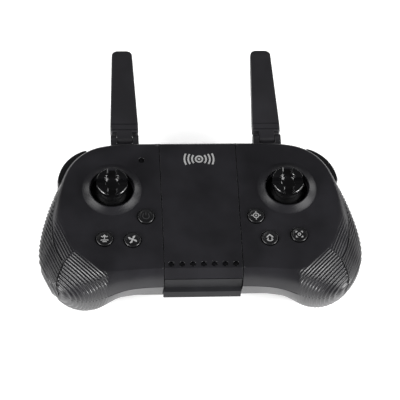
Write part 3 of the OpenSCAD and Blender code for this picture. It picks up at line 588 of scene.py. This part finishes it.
def builtTopShell():
    shell = topShell()
    half = housing["panelW"] / 2
    channel = prism("channel", [(-half, 60, 37.95), (half, 60, 37.95), (half, 60, 39.88),
                                (half + 0.12, 60, 40.02), (half + 0.12, 60, 45),
                                (-half - 0.12, 60, 45), (-half - 0.12, 60, 40.02),
                                (-half, 60, 39.88)], (0, -120, 0))
    combined(shell, channel)
    combined(shell, block("notch", (-half, half), (-60, -39.5), (15.2, 45)))
    combined(shell, block("tray", (-half - 3, half + 3), (-35.4, 42), (36.4, 38.1)), "UNION")
    sx, sy, r = housing["stickX"], housing["stickY"], housing["wellR"] + 1
    wells = [lathe("well", [(0, 30), (r, 30), (r, 45), (0, 45)], (side * sx, sy, 0), 128)
             for side in (-1, 1)]
    combined(shell, joined("wells", wells))
    combined(shell, joined("crests", bothSides(crestRing())), "UNION")
    cuts = [ringCutter(keys["r"] + keys["gap"], 30, 45, (*p, 0)) for p in keys["places"].values()]
    cuts.append(ringCutter(statusLight["holeR"], 30, 45, (*statusLight["at"], 0), 0.15, 40))
    cuts += bothSides(bumperWindow())
    ax = antenna["x"]
    cuts += bothSides(block("bracketWindow", (ax - 8.4, ax + 8.4), (38, 55), (28.8, 35.2)))
    combined(shell, joined("cuts", cuts))
    return shell


topHousing = finished(builtTopShell(), "topShell", satinBlack, nodes=["top_housing"],
                      angle=72)
print("top shell:", len(topHousing.data.polygons), "faces")


bay = {"x": 29.45, "y": (-10.8, 39.8), "doorT": 1.6, "roof": 17.9,
       "bosses": ((63.2, 31.4, 12), (68.2, -26.4, 0), (35.93, -36.8, 12)), "bossR": 3.2,
       "bossZ": (0.9, 13.9)}


def bottomShell():
    low = np.concatenate([np.linspace(1.8, 59.8, 62), np.linspace(60.2, 90, 30)])
    outer = np.array([lowPoint(stations, a, gripInset(stations, a < 60), 0) for a in low])
    mask = cornerMask(outer, stations, [housing["gripTo"]] * len(low))
    mask = mask * (1 - step(low, 72, 84))[:, None]
    outer -= surfaceNormals(outer) * (ridgeCut(outer) * mask)[..., None]
    wall, zero = housing["wall"], np.zeros(len(stations))
    rim = lowPoint(stations, 0, gripInset(stations, True) + housing["seamGroove"], 0)
    inner = [lowPoint(stations, a, gripInset(stations, a < 60) + wall, wall)
             for a in (90, 75, 60.2, 59.8, 45, 30, 15, 0)]
    floorIn = [risePoint(stations, u, zero + wall, wall) for u in (1, 0.8, 0.6, 0.4, 0.2)]
    floorOut = [risePoint(stations, u, zero, 0) for u in np.linspace(0.06, 1, 17)]
    return gridPiece("bottomShell", np.array([*floorIn, *inner, rim, *outer, *floorOut]), fill=True)


def screwWell(place):
    x, y, z = place
    return lathe("screwWell", [(0, z - 5), (3.0, z - 5), (3.0, z - 0.1), (2.7, z + 0.25), (2.7, 20),
                               (0, 20)], (x, y, 0), 40)


def builtBottomShell():
    shell = bottomShell()
    half = housing["panelW"] / 2
    x, (y0, y1) = bay["x"], bay["y"]
    pod = rounded(block("pod", (-x - 2, x + 2), (y0 - 2, y1 + 2), (0, bay["roof"] + 1.3)), 1.2, 4)
    bosses = []
    r, (low, high) = bay["bossR"], bay["bossZ"]
    for place in bay["bosses"]:
        boss = lathe("boss", [(0, low), (r, low), (r, high), (0, high)], steps=32)
        bosses += bothSides(moved(boss, place))
    combined(shell, joined("bosses", bosses), "UNION")
    combined(shell, pod, "UNION")
    combined(shell, rounded(block("recess", (-x, x), (y0, y1), (-1, bay["doorT"])), 0.4, 2))
    combined(shell, block("bayHollow", (-x + 1, x - 1), (y0, y1 - 4.8), (-1, bay["roof"])))
    combined(shell, block("notch", (-half, half), (-60, -39.5), (15.2, 45)))
    cuts = bothSides(bumperWindow())
    for place in bay["bosses"]:
        cuts += bothSides(screwWell(place))
    combined(shell, joined("cuts", cuts))
    return shell


bottomHousing = finished(builtBottomShell(), "bottomShell", satinBlack, nodes=["bottom_housing"],
                         angle=72)
print("bottom shell:", len(bottomHousing.data.polygons), "faces")

sideGrip = {"columns": 250, "thick": 1.1, "gap": 0.07, "fade": 2.2, "inside": (60, -15, 20)}


def outward(piece, centre):
    # turns an open sheet so that it faces away from a point
    centre = Vector(centre) * mm
    total = sum(f.normal.dot(f.center - centre) * f.area for f in piece.data.polygons)
    if total < 0:
        piece.data.flip_normals()
    return piece


def gripSheet():
    gap, fade, u = sideGrip["gap"], sideGrip["fade"], np.linspace(0, 1, sideGrip["columns"])
    start, last = housing["gripFrom"] + gap, housing["gripTo"] - gap
    zero = np.zeros(len(u))
    tops = np.linspace(housing["gripTop"] + 1, 90, 48)
    lows = np.linspace(1, housing["gripLow"] - 1, 78)
    rows = [topPoint(start + u * (gripEnd(a) - gap - start), a, zero, housing["faceZ"])
            for a in tops]
    rows += [lowPoint(start + u * (last - start), a, zero, 0) for a in lows]
    sheet = np.array(rows)
    across = np.concatenate([tops - tops[0], tops[-1] - tops[0] + lows])
    edge = np.minimum(step(across, 0, fade), 1 - step(across, across[-1] - fade, across[-1]))
    ends = step(u, 0, 0.01) * (1 - step(u, 0.99, 1))
    sheet -= surfaceNormals(sheet) * (sideRidgeCut(sheet) * edge[:, None] * ends)[..., None]
    piece = outward(gridPiece("gripSheet", sheet), sideGrip["inside"])
    return applied(piece, "SOLIDIFY", thickness=sideGrip["thick"] * mm, offset=-1,
                   use_even_offset=False)


rightGrip = gripSheet()
leftGrip = mirrored(rightGrip, "leftSideGrip")
for side, piece in (("right", rightGrip), ("left", leftGrip)):
    finished(piece, side + "SideGrip", ridgeBlack, nodes=[side + "_side_grip"],
             angle=80)
print("side grips:", len(rightGrip.data.polygons), "faces each")

shoulder = {"from": 3.62, "to": 6.68, "proud": 2.55, "low": 22, "high": 35, "inside": 4.3,
            "edge": 0.9, "taper": 0.12, "flange": (-0.26, 0.3), "flangeZ": 26.6, "flangeHigh": 6.4}


def shoulderButton():
    ts = np.linspace(shoulder["from"], shoulder["to"], 48)
    u = (ts - ts[0]) / (ts[-1] - ts[0])
    proud = shoulder["proud"] * (0.25 + 0.75 * np.sin(math.pi * u) ** 0.55)
    outer = rimAt(ts) - proud[:, None] * inwardAt(ts)
    taper = shoulder["taper"]
    inner = rimAt(np.linspace(ts[0] + taper, ts[-1] - taper, len(ts)), shoulder["inside"])[::-1]
    face = prism("shoulder", [(x, y, shoulder["low"]) for x, y in np.vstack([outer, inner])],
                 (0, 0, shoulder["high"] - shoulder["low"]))
    rounded(face, shoulder["edge"], 4, 50)
    before, after = shoulder["flange"]
    flange = rimStrip(shoulder["from"] + before, shoulder["to"] + after, 2.9, 4.2,
                      shoulder["flangeZ"], shoulder["flangeZ"] + shoulder["flangeHigh"])
    return combined(face, flange, "UNION")


rightShoulder = shoulderButton()
leftShoulder = mirrored(rightShoulder, "leftBumper")
for side, piece in (("right", rightShoulder), ("left", leftShoulder)):
    finished(piece, side + "Bumper", keyBlack, side + "_shoulder", [side + "_bumper"])
print("shoulder buttons made")

cover = {"width": 44.2, "lightY": -37.8, "lights": 7, "pitch": 6.1, "holeR": 1.75, "lensR": 1.62,
         "lensFoot": 28.6, "edge": 0.12, "rodX": 14, "rodZ": 21.5}

firstLight = -(cover["lights"] - 1) / 2
lightPlaces = [((firstLight + i) * cover["pitch"], cover["lightY"], 0)
               for i in range(cover["lights"])]


def coverSection():
    lip = [(41.2 + 4.8 * math.sin(a), 40 - 14 * (1 - math.cos(a)))
           for a in np.radians(np.linspace(26, 0, 9))]
    front = [(-40.4, 40), (-44.6, 35), (-41.2, 35), (-41.2, 14.1), (-39.9, 14.1), (-39.9, 38.2)]
    return [(43.3, 38.2)] + lip + front


def builtCover():
    half = cover["width"] / 2
    piece = prism("cover", [(-half, y, z) for y, z in coverSection()], (cover["width"], 0, 0))
    rounded(piece, cover["edge"], 3, 20)
    r = cover["holeR"]
    hole = [(0, 36), (r, 36), (r, 39.95), (r + 0.08, 40.03), (r + 0.08, 42), (0, 42)]
    combined(piece, joined("holes", [lathe("hole", hole, place, 40) for place in lightPlaces]))
    for x in (-cover["rodX"], cover["rodX"]):
        rodHole = lathe("rodHole", [(0, -3), (2.5, -3), (2.5, 3), (0, 3)], steps=32)
        combined(piece, moved(turned(rodHole, math.pi / 2, "X"), (x, -40.5, cover["rodZ"])))
    return piece


finished(builtCover(), "centreCover", satinBlack, nodes=["center_cover"],
         angle=28)

lensR, lensFoot = cover["lensR"], cover["lensFoot"]
lensProfile = [(0, lensFoot), (lensR, lensFoot), (lensR, 38.9)]
lensProfile += [(lensR * math.cos(a), 38.9 + 0.45 * math.sin(a))
                for a in np.linspace(0.25, 1.57, 6)[:-1]]
lenses = [lathe("lens", lensProfile + [(0, 39.35)], place, 32) for place in lightPlaces]
finished(joined("lenses", lenses), "indicatorLights", lensDark, nodes=["indicator_lights"])
status = lathe("status", [(0, cover["lensFoot"]), (statusLight["r"], cover["lensFoot"]),
                          (statusLight["r"], 38.8), (1.2, 39.3), (0, 39.45)],
               (*statusLight["at"], 0), 32)
finished(status, "statusLight", lensDark, nodes=["status_light"])


# printed marks, as thin raised shapes
def ringMark(r, width, at, z0, thick, start=0, sweep=360, steps=48):
    # a flat ring or arc, its angles in degrees
    angles = np.radians(np.linspace(start, start + sweep, steps + 1))
    if sweep >= 360:
        profile = [(r - width / 2, z0), (r + width / 2, z0), (r + width / 2, z0 + thick),
                   (r - width / 2, z0 + thick)]
        return lathe("ring", profile, (at[0], at[1], 0), steps, closed=True)
    loop = [(at[0] + (r + width / 2) * math.cos(a), at[1] + (r + width / 2) * math.sin(a), z0)
            for a in angles]
    loop += [(at[0] + (r - width / 2) * math.cos(a), at[1] + (r - width / 2) * math.sin(a), z0)
             for a in angles[::-1]]
    return prism("arc", loop, (0, 0, thick))


def shapeMark(points, at, z0, thick, turn=0.0):
    c, s = math.cos(turn), math.sin(turn)
    loop = [(at[0] + c * x - s * y, at[1] + s * x + c * y, z0) for x, y in points]
    return prism("shape", loop, (0, 0, thick))


def barMark(x, y, at, z0, thick, turn=0.0):
    return shapeMark([(x[0], y[0]), (x[1], y[0]), (x[1], y[1]), (x[0], y[1])], at, z0, thick, turn)


mark = {"at": (0.6, 31.7), "z": 39.98, "thick": 0.14}


def coverMark():
    # a plain device of a ring, a dot and signal arcs
    at, z, h = mark["at"], mark["z"], mark["thick"]
    parts = [ringMark(2.0, 0.9, at, z, h), ringMark(0.35, 0.7, at, z, h)]
    for middle in (0, 180):
        for r, sweep in ((4.1, 80), (6.3, 64), (8.5, 52)):
            parts.append(ringMark(r, 1.0, at, z, h, middle - sweep / 2, sweep, 20))
    return joined("mark", parts)


finished(coverMark(), "coverMark", printWhite)
print("centre cover made")


def buttonBody(place):
    r, top = keys["r"], keys["top"]
    edge = [(r - 0.5 + 0.5 * math.sin(a), top - 0.5 + 0.5 * math.cos(a))
            for a in np.radians([90, 70, 50, 30, 12])]
    dish = [(r - 0.9, top - 0.02), (r - 1.15, top - 0.16), (r * 0.5, top - 0.26), (0, top - 0.3)]
    stem = keys["stem"]
    return lathe("button", [(0, stem), (r + 1.1, stem), (r + 1.1, stem + 1.5), (r, stem + 1.5)]
                 + edge + dish, (*place, 0), 64)


def iconPower(at, z, h):
    return [ringMark(1.9, 0.5, at, z, h, 125, 290, 40),
            barMark((-0.25, 0.25), (0.5, 2.6), at, z, h)]


def iconLanding(at, z, h):
    up = [(-0.3, -0.4), (0.3, -0.4), (0.3, 1.3), (1.1, 0.6), (1.35, 1.0), (0, 2.5), (-1.35, 1.0),
          (-1.1, 0.6), (-0.3, 1.3)]
    return [shapeMark(up, at, z, h), barMark((-2.2, 2.2), (-1.35, -0.8), at, z, h),
            barMark((-1.2, 1.2), (-2.35, -1.85), at, z, h),
            barMark((-2.3, -1.6), (0.1, 0.6), at, z, h, -0.5),
            barMark((1.6, 2.3), (0.1, 0.6), at, z, h, 0.5)]


def iconSpeed(at, z, h):
    blade = [(0.2, 0.1), (1.0, 1.0), (1.7, 2.2), (1.1, 2.5), (0.2, 1.9), (-0.15, 0.5)]
    parts = [shapeMark(blade, at, z, h, k * math.pi / 2) for k in range(4)]
    return parts + [ringMark(0.3, 0.6, at, z + 0.01, h, steps=24)]


def iconPosition(at, z, h):
    parts = [ringMark(1.5, 0.5, at, z, h), ringMark(0.25, 0.5, at, z, h, steps=20)]
    return parts + [barMark((1.6, 2.8), (-0.25, 0.25), at, z, h, k * math.pi / 2) for k in range(4)]


def iconReturn(at, z, h):
    roof = [(-2.1, 0.3), (0, 2.3), (2.1, 0.3), (1.6, -0.1), (0, 1.4), (-1.6, -0.1)]
    return [shapeMark(roof, at, z, h), barMark((-1.35, -0.85), (-1.5, -0.1), at, z, h),
            barMark((0.85, 1.35), (-1.5, -0.1), at, z, h),
            ringMark(2.0, 0.5, (at[0], at[1] - 0.2), z, h, 215, 110, 20)]


def iconCamera(at, z, h):
    corner = [(1.0, 2.1), (2.1, 2.1), (2.1, 1.0), (1.6, 1.0), (1.6, 1.6), (1.0, 1.6)]
    parts = [shapeMark(corner, at, z, h, k * math.pi / 2) for k in range(4)]
    return parts + [ringMark(0.75, 0.5, at, z, h, steps=28)]


iconZ, iconThick = keys["top"] - 0.32, 0.2
icons = {"power": (iconPower, printGrey), "landing": (iconLanding, printWhite),
         "speed": (iconSpeed, printWhite), "position": (iconPosition, printWhite),
         "return": (iconReturn, printWhite), "camera": (iconCamera, printWhite)}
for label, place in keys["places"].items():
    draw, ink = icons[label]
    finished(buttonBody(place), label + "Button", keyBlack, label + "_key", [label + "_button"],
             angle=50)
    icon = joined("icon", draw(place, iconZ, iconThick))
    finished(icon, label + "Icon", ink, label + "_key")
print("face buttons made")

stick = {"pivot": 24, "domeR": 16.5, "domeFrom": 7.1, "domeThick": 1.3, "top": 49, "capR": 9.2,
         "prong": 2.9, "inR": 4.6, "gap": 2.2, "shaftR": 2.4, "shaftTop": 4.6}


def stickCap(at):
    top, r, p, b = stick["top"], stick["capR"], stick["prong"], stick["inR"]
    profile = [(0, top - 6.2), (4.3, top - 6.2), (4.6, top - 5.9), (4.6, top - 4.8),
               (5.0, top - 4.5), (r - 0.75, top - 3.3), (r - 0.2, top - 2.95), (r, top - 2.6),
               (r, top - 0.75),
               (r - 0.1, top - 0.4), (r - 0.35, top - 0.12), (r - 0.75, top), (b + 0.75, top),
               (b + 0.35, top - 0.12), (b + 0.1, top - 0.45), (b - 0.3, top - p + 0.3),
               (b - 0.8, top - p - 0.05), (b * 0.45, top - p - 0.45), (0, top - p - 0.6)]
    cap = lathe("cap", profile, (0, 0, 0), 96)
    g, out = stick["gap"], 12
    section = [(-g, top - p), (g, top - p), (g, top - 0.7), (g + 0.7, top), (g + 3.7, top + 3),
               (-g - 3.7, top + 3), (-g - 0.7, top), (-g, top - 0.7)]
    for turn in (0, math.pi / 2):
        slot = prism("slot", [(-out, y, z) for y, z in section], (2 * out, 0, 0))
        combined(cap, turned(slot, turn))
    rounded(cap, 0.2, 3, 35)
    return moved(cap, at)


def stickDome(at):
    r, z, bore = stick["domeR"], stick["pivot"], stick["shaftR"] + 0.02
    low = r - stick["domeThick"]
    start = math.acos(stick["domeFrom"] / r)
    # faint rings are pressed into the lower part, two steps in every eight
    ribs = [(r - (0.16 if k % 8 in (3, 4) and k < 30 else 0), start * (1 - k / 44))
            for k in range(45)]
    outer = [(q * math.sin(a), z + q * math.cos(a)) for q, a in ribs]
    inner = [(low * math.sin(a), z + low * math.cos(a)) for _, a in reversed(ribs)]
    profile = outer[:-1] + [(bore, z + r), (bore, z + low)] + inner[1:]
    return lathe("dome", profile, at, 96, closed=True)


def stickShaft(at):
    z, r, top = stick["pivot"], stick["shaftR"], stick["top"] - stick["shaftTop"]
    body = lathe("shaft", [(0, z - 8), (2.0, z - 8), (r, z - 7.6), (r, z - 3), (4.0, z - 3),
                           (4.2, z - 2.8), (4.2, z + 2.8), (4.0, z + 3), (r, z + 3), (r, top),
                           (0, top)], (0, 0, 0), 48)
    pin = lathe("pin", [(0, -8.9), (0.8, -8.9), (1, -8.7), (1, 8.7), (0.8, 8.9), (0, 8.9)],
                steps=24)
    pin = moved(turned(pin, math.pi / 2, "X"), (0, 0, z))
    return moved(combined(body, pin, "UNION"), at)


for side, sign in (("left", -1), ("right", 1)):
    at, body = (sign * housing["stickX"], housing["stickY"], 0), side + "_control"
    finished(stickCap(at), side + "StickCap", stickGloss, body, [side + "_stick_cap"])
    # the domes carry the darker black of painted shade for the wells
    finished(stickDome(at), side + "StickDome", domeShadeBlack, body, [side + "_stick_dome"],
             angle=60)
    finished(stickShaft(at), side + "StickShaft", innerBlack, body, [side + "_stick"])
print("sticks made")


def tubeAcross(name, r, x0, x1, edge, steps=48):
    # a round bar along the hinge line, with softened ends
    profile = [(0, x0), (r - edge, x0), (r, x0 + edge), (r, x1 - edge), (r - edge, x1), (0, x1)]
    return turned(lathe(name, profile, steps=steps), math.pi / 2, "Y")


def builtAntenna():
    half, tip, length = antenna["width"] / 2, antenna["tipWidth"] / 2, antenna["length"]
    t, k, start = antenna["thick"] / 2, antenna["knuckle"], antenna["from"]
    bend, neckX = tip * 0.62, antenna["neck"]
    arc = [(tip - bend + bend * math.cos(a), length - bend + bend * math.sin(a))
           for a in np.radians(np.linspace(0, 90, 10))]
    right = [(half - 0.9, start), (half, start + 0.9), (half, start + 6.2)] + arc
    loop = right + [(-x, y) for x, y in reversed(right)]
    paddle = prism("paddle", [(x, y, -t) for x, y in loop], (0, 0, 2 * t))
    rounded(paddle, 0.95, 2, 50)
    tipSlope = prism("tipSlope", [(-20, length - 4.6, t + 0.01), (-20, length + 1, t - 1.5),
                                  (-20, length + 1, t + 3), (-20, length - 4.6, t + 3)], (40, 0, 0))
    combined(paddle, tipSlope)
    neck = rounded(block("neck", (-neckX, neckX), (0, start + 3), (-t, t)), 0.15, 2)
    combined(paddle, neck, "UNION")
    combined(paddle, tubeAcross("knuckle", k, -neckX, neckX, 0.06), "UNION")
    for y in (start + 1.2, start + 5.1):
        combined(paddle, block("groove", (-20, 20), (y, y + 0.8), (t - 0.55, t + 2)))
    combined(paddle, tubeAcross("bore", antenna["bore"], -6, 6, 0.01, steps=32))
    return moved(paddle, (antenna["x"], antenna["hingeY"], antenna["hingeZ"]))


def builtBracket():
    half = antenna["width"] / 2
    base = rounded(block("base", (-half, half), (-8.4, -3.9), (-3, 3)), 0.35, 3)
    flange = block("flange", (-half - 2, half + 2), (-10, -8.3), (-3, 3))
    combined(base, flange, "UNION")
    for x0, x1 in ((4.8, half), (-half, -4.8)):
        arm = rounded(block("arm", (x0, x1), (-4.6, 0.4), (-2.98, 2.98)), 0.3, 3)
        combined(base, arm, "UNION")
        combined(base, tubeAcross("ear", antenna["ear"], x0, x1, 0.1), "UNION")
    return moved(base, (antenna["x"], antenna["hingeY"], antenna["hingeZ"]))


whips = bothSides(builtAntenna())
feet = bothSides(builtBracket())
for side, whip, foot in zip(("right", "left"), whips, feet):
    finished(whip, side + "Antenna", antennaBlack, side + "_aerial", [side + "_antenna"],
             angle=30)
    finished(foot, side + "AntennaBracket", antennaBlack, "root", [side + "_antenna_bracket"],
             angle=30)
print("antennas made")

jaw = {"inY": -43.0, "low": 15.6, "high": 34.5, "lip": 24, "bandY": -44.8, "lipY": -46.7,
       "edge": 0.2, "rodR": 2, "rodLong": 85.6, "bodyPadY": -41.9}


def builtJaw():
    half = cover["width"] / 2
    section = [(jaw["inY"], jaw["low"]), (jaw["inY"], jaw["high"]), (jaw["bandY"], jaw["high"]),
               (jaw["bandY"], jaw["lip"] + 0.4), (jaw["lipY"], jaw["lip"] - 0.6),
               (jaw["lipY"], jaw["low"] + 1.2), (jaw["lipY"] + 0.8, jaw["low"])]
    piece = prism("jaw", [(-half, y, z) for y, z in section], (cover["width"], 0, 0))
    return rounded(piece, jaw["edge"], 3, 20)


def facePad(y):
    # a thin rubber pad that the phone rests against
    half = cover["width"] / 2 - 3
    pad = block("pad", (-half, half), (y, y + 0.7), (jaw["lip"] + 1, jaw["high"] - 1.2))
    return rounded(pad, 0.12, 2)


finished(builtJaw(), "phoneJaw", jawBlack, "jaw", ["phone_jaw"], angle=28)
finished(facePad(jaw["inY"]), "jawPad", rubber, "jaw", ["jaw_pad"])
finished(facePad(jaw["bodyPadY"]), "bodyPad", rubber, "root", ["body_pad"])
rods = []
r, rodLong = jaw["rodR"], jaw["rodLong"]
for x in (-cover["rodX"], cover["rodX"]):
    rod = lathe("rod", [(0, 0), (r - 0.3, 0), (r, 0.3), (r, rodLong - 0.3), (r - 0.3, rodLong),
                        (0, rodLong)], steps=40)
    rods.append(moved(turned(rod, -math.pi / 2, "X"), (x, jaw["inY"] - 2.6, cover["rodZ"])))
finished(joined("rods", rods), "jawRods", steel, "jaw", ["jaw_rods"])
print("phone jaw made")

door = {"gap": 0.2, "screwY": 37.4}


def builtDoor():
    x, (y0, y1), g = bay["x"], bay["y"], door["gap"]
    piece = rounded(block("door", (-x + g, x - g), (y0 + g, y1 - g), (0, bay["doorT"])), 0.3, 3)
    cuts = [rounded(block("gripCut", (-7, 7), (y, y + 1.1), (-1, 0.55)), 0.2, 2)
            for y in np.arange(y0 + 3.5, y0 + 12, 2.1)]
    arrow = [(-2.4, y0 + 15), (0, y0 + 18.4), (2.4, y0 + 15), (1.7, y0 + 14.4), (0, y0 + 16.9),
             (-1.7, y0 + 14.4)]
    cuts.append(prism("arrow", [(px, py, -1) for px, py in arrow], (0, 0, 1.35)))
    cuts.append(lathe("head", [(0, -1), (2.6, -1), (2.5, 0.8), (1.45, 0.8), (1.45, 3), (0, 3)],
                      (0, door["screwY"], 0), 40))
    return combined(piece, joined("cuts", cuts))


def screwHead(r, z, depth, at):
    # a pan head seen from below, with a cross recess
    seat, arm = z + depth, r * 0.62
    head = lathe("screw", [(0, z), (r * 0.6, z), (r * 0.93, z + 0.15), (r, z + 0.4), (r, seat),
                           (0, seat)], steps=40)
    for turn in (0.4, 0.4 + math.pi / 2):
        cross = block("cross", (-arm, arm), (-0.22, 0.22), (z - 1, z + 0.45))
        combined(head, turned(cross, turn))
    shank = lathe("shank", [(0, seat - 0.05), (1.25, seat - 0.05), (1.25, seat + 8), (0, seat + 8)],
                  steps=24)
    return moved(joined("screw", [head, shank]), (*at, 0))


finished(builtDoor(), "batteryDoor", satinBlack, nodes=["battery_door"])
finished(screwHead(2.35, 0.1, 0.7, (0, door["screwY"])), "doorScrew", steel, nodes=["door_screw"])
firstScrew = screwHead(2.4, 18.4, 1.6, (0, 0))
screws = []
for x, y, _ in bay["bosses"]:
    screws += [copied(firstScrew, "screw", (sign * x, y, 0)) for sign in (-1, 1)]
bpy.data.objects.remove(firstScrew)
finished(joined("screws", screws), "housingScrews", steel, nodes=["housing_screws"])
print("underside made")

# the inner pieces keep their CAD shape and get a finish
innerFinish = {"battery_cells": cellSleeve, "battery_contacts": springSteel,
               "main_board": boardGreen, "board_chips": chipBlack, "buzzer": chipBlack,
               "bumper_switches": innerBlack,
               "left_gimbal_base": innerBlack, "right_gimbal_base": innerBlack,
               "left_gimbal_ring": innerBlack, "right_gimbal_ring": innerBlack,
               "gimbal_sensors": sensorBlue, "gimbal_screws": steel, "left_keypad": rubber,
               "right_keypad": rubber, "left_antenna_core": brass, "right_antenna_core": brass,
               "antenna_pins": steel, "antenna_leads": leadBlack, "rod_clips": springSteel,
               "rod_guide": innerBlack, "board_screws": steel}
for name, finish in innerFinish.items():
    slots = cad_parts[name].data.materials
    if not slots:
        slots.append(finish)
    for i in range(len(slots)):
        slots[i] = finish
print("inner pieces finished")


studio = {"world": 0.05, "floor": 0.9, "glow": 0.42, "aim": (0, 0, 0.03),
          "boxes": {"softLeft": ((-1.15, -0.25, 0.98), (0.9, 1.15), 16),
                    "softRight": ((1.15, -0.22, 0.98), (0.9, 1.15), 16),
                    "lowLeft": ((-1.13, -0.76, 0.43), (0.45, 0.26), 19),
                    "lowRight": ((1.13, -0.7, 0.43), (0.45, 0.26), 19),
                    "rearLeft": ((-1.2, 0.75, 0.62), (0.5, 0.6), 4),
                    "rearRight": ((1.2, 0.75, 0.62), (0.5, 0.6), 4)}}


def softbox(name, place, size, power):
    bpy.ops.object.light_add(type="AREA", location=place)
    lamp = bpy.context.object
    lamp.name = name
    lamp.data.shape = "RECTANGLE"
    lamp.data.size, lamp.data.size_y = size
    lamp.data.energy = power
    towards = Vector(studio["aim"]) - Vector(place)
    lamp.rotation_euler = towards.to_track_quat("-Z", "Y").to_euler()


clearSelection()
bpy.ops.mesh.primitive_plane_add(size=12, location=(0, 0, -0.0005))
floor = bpy.context.object
floor.name = "floor"
floorWhite = finishOf("floorWhite", [studio["floor"]] * 3, 0.7, grain=0.01, grainSize=5,
                      mottle=0.01, specular=0.1, emission=studio["glow"])
floor.data.materials.append(floorWhite)
for name, (place, size, power) in studio["boxes"].items():
    softbox(name, place, size, power)
scene.world = bpy.data.worlds.new("studio")
scene.world.use_nodes = True
sky = scene.world.node_tree.nodes["Background"].inputs
sky["Color"].default_value = (1, 1, 1, 1)
sky["Strength"].default_value = studio["world"]
scene.view_settings.view_transform = "Standard"
print("studio lit")
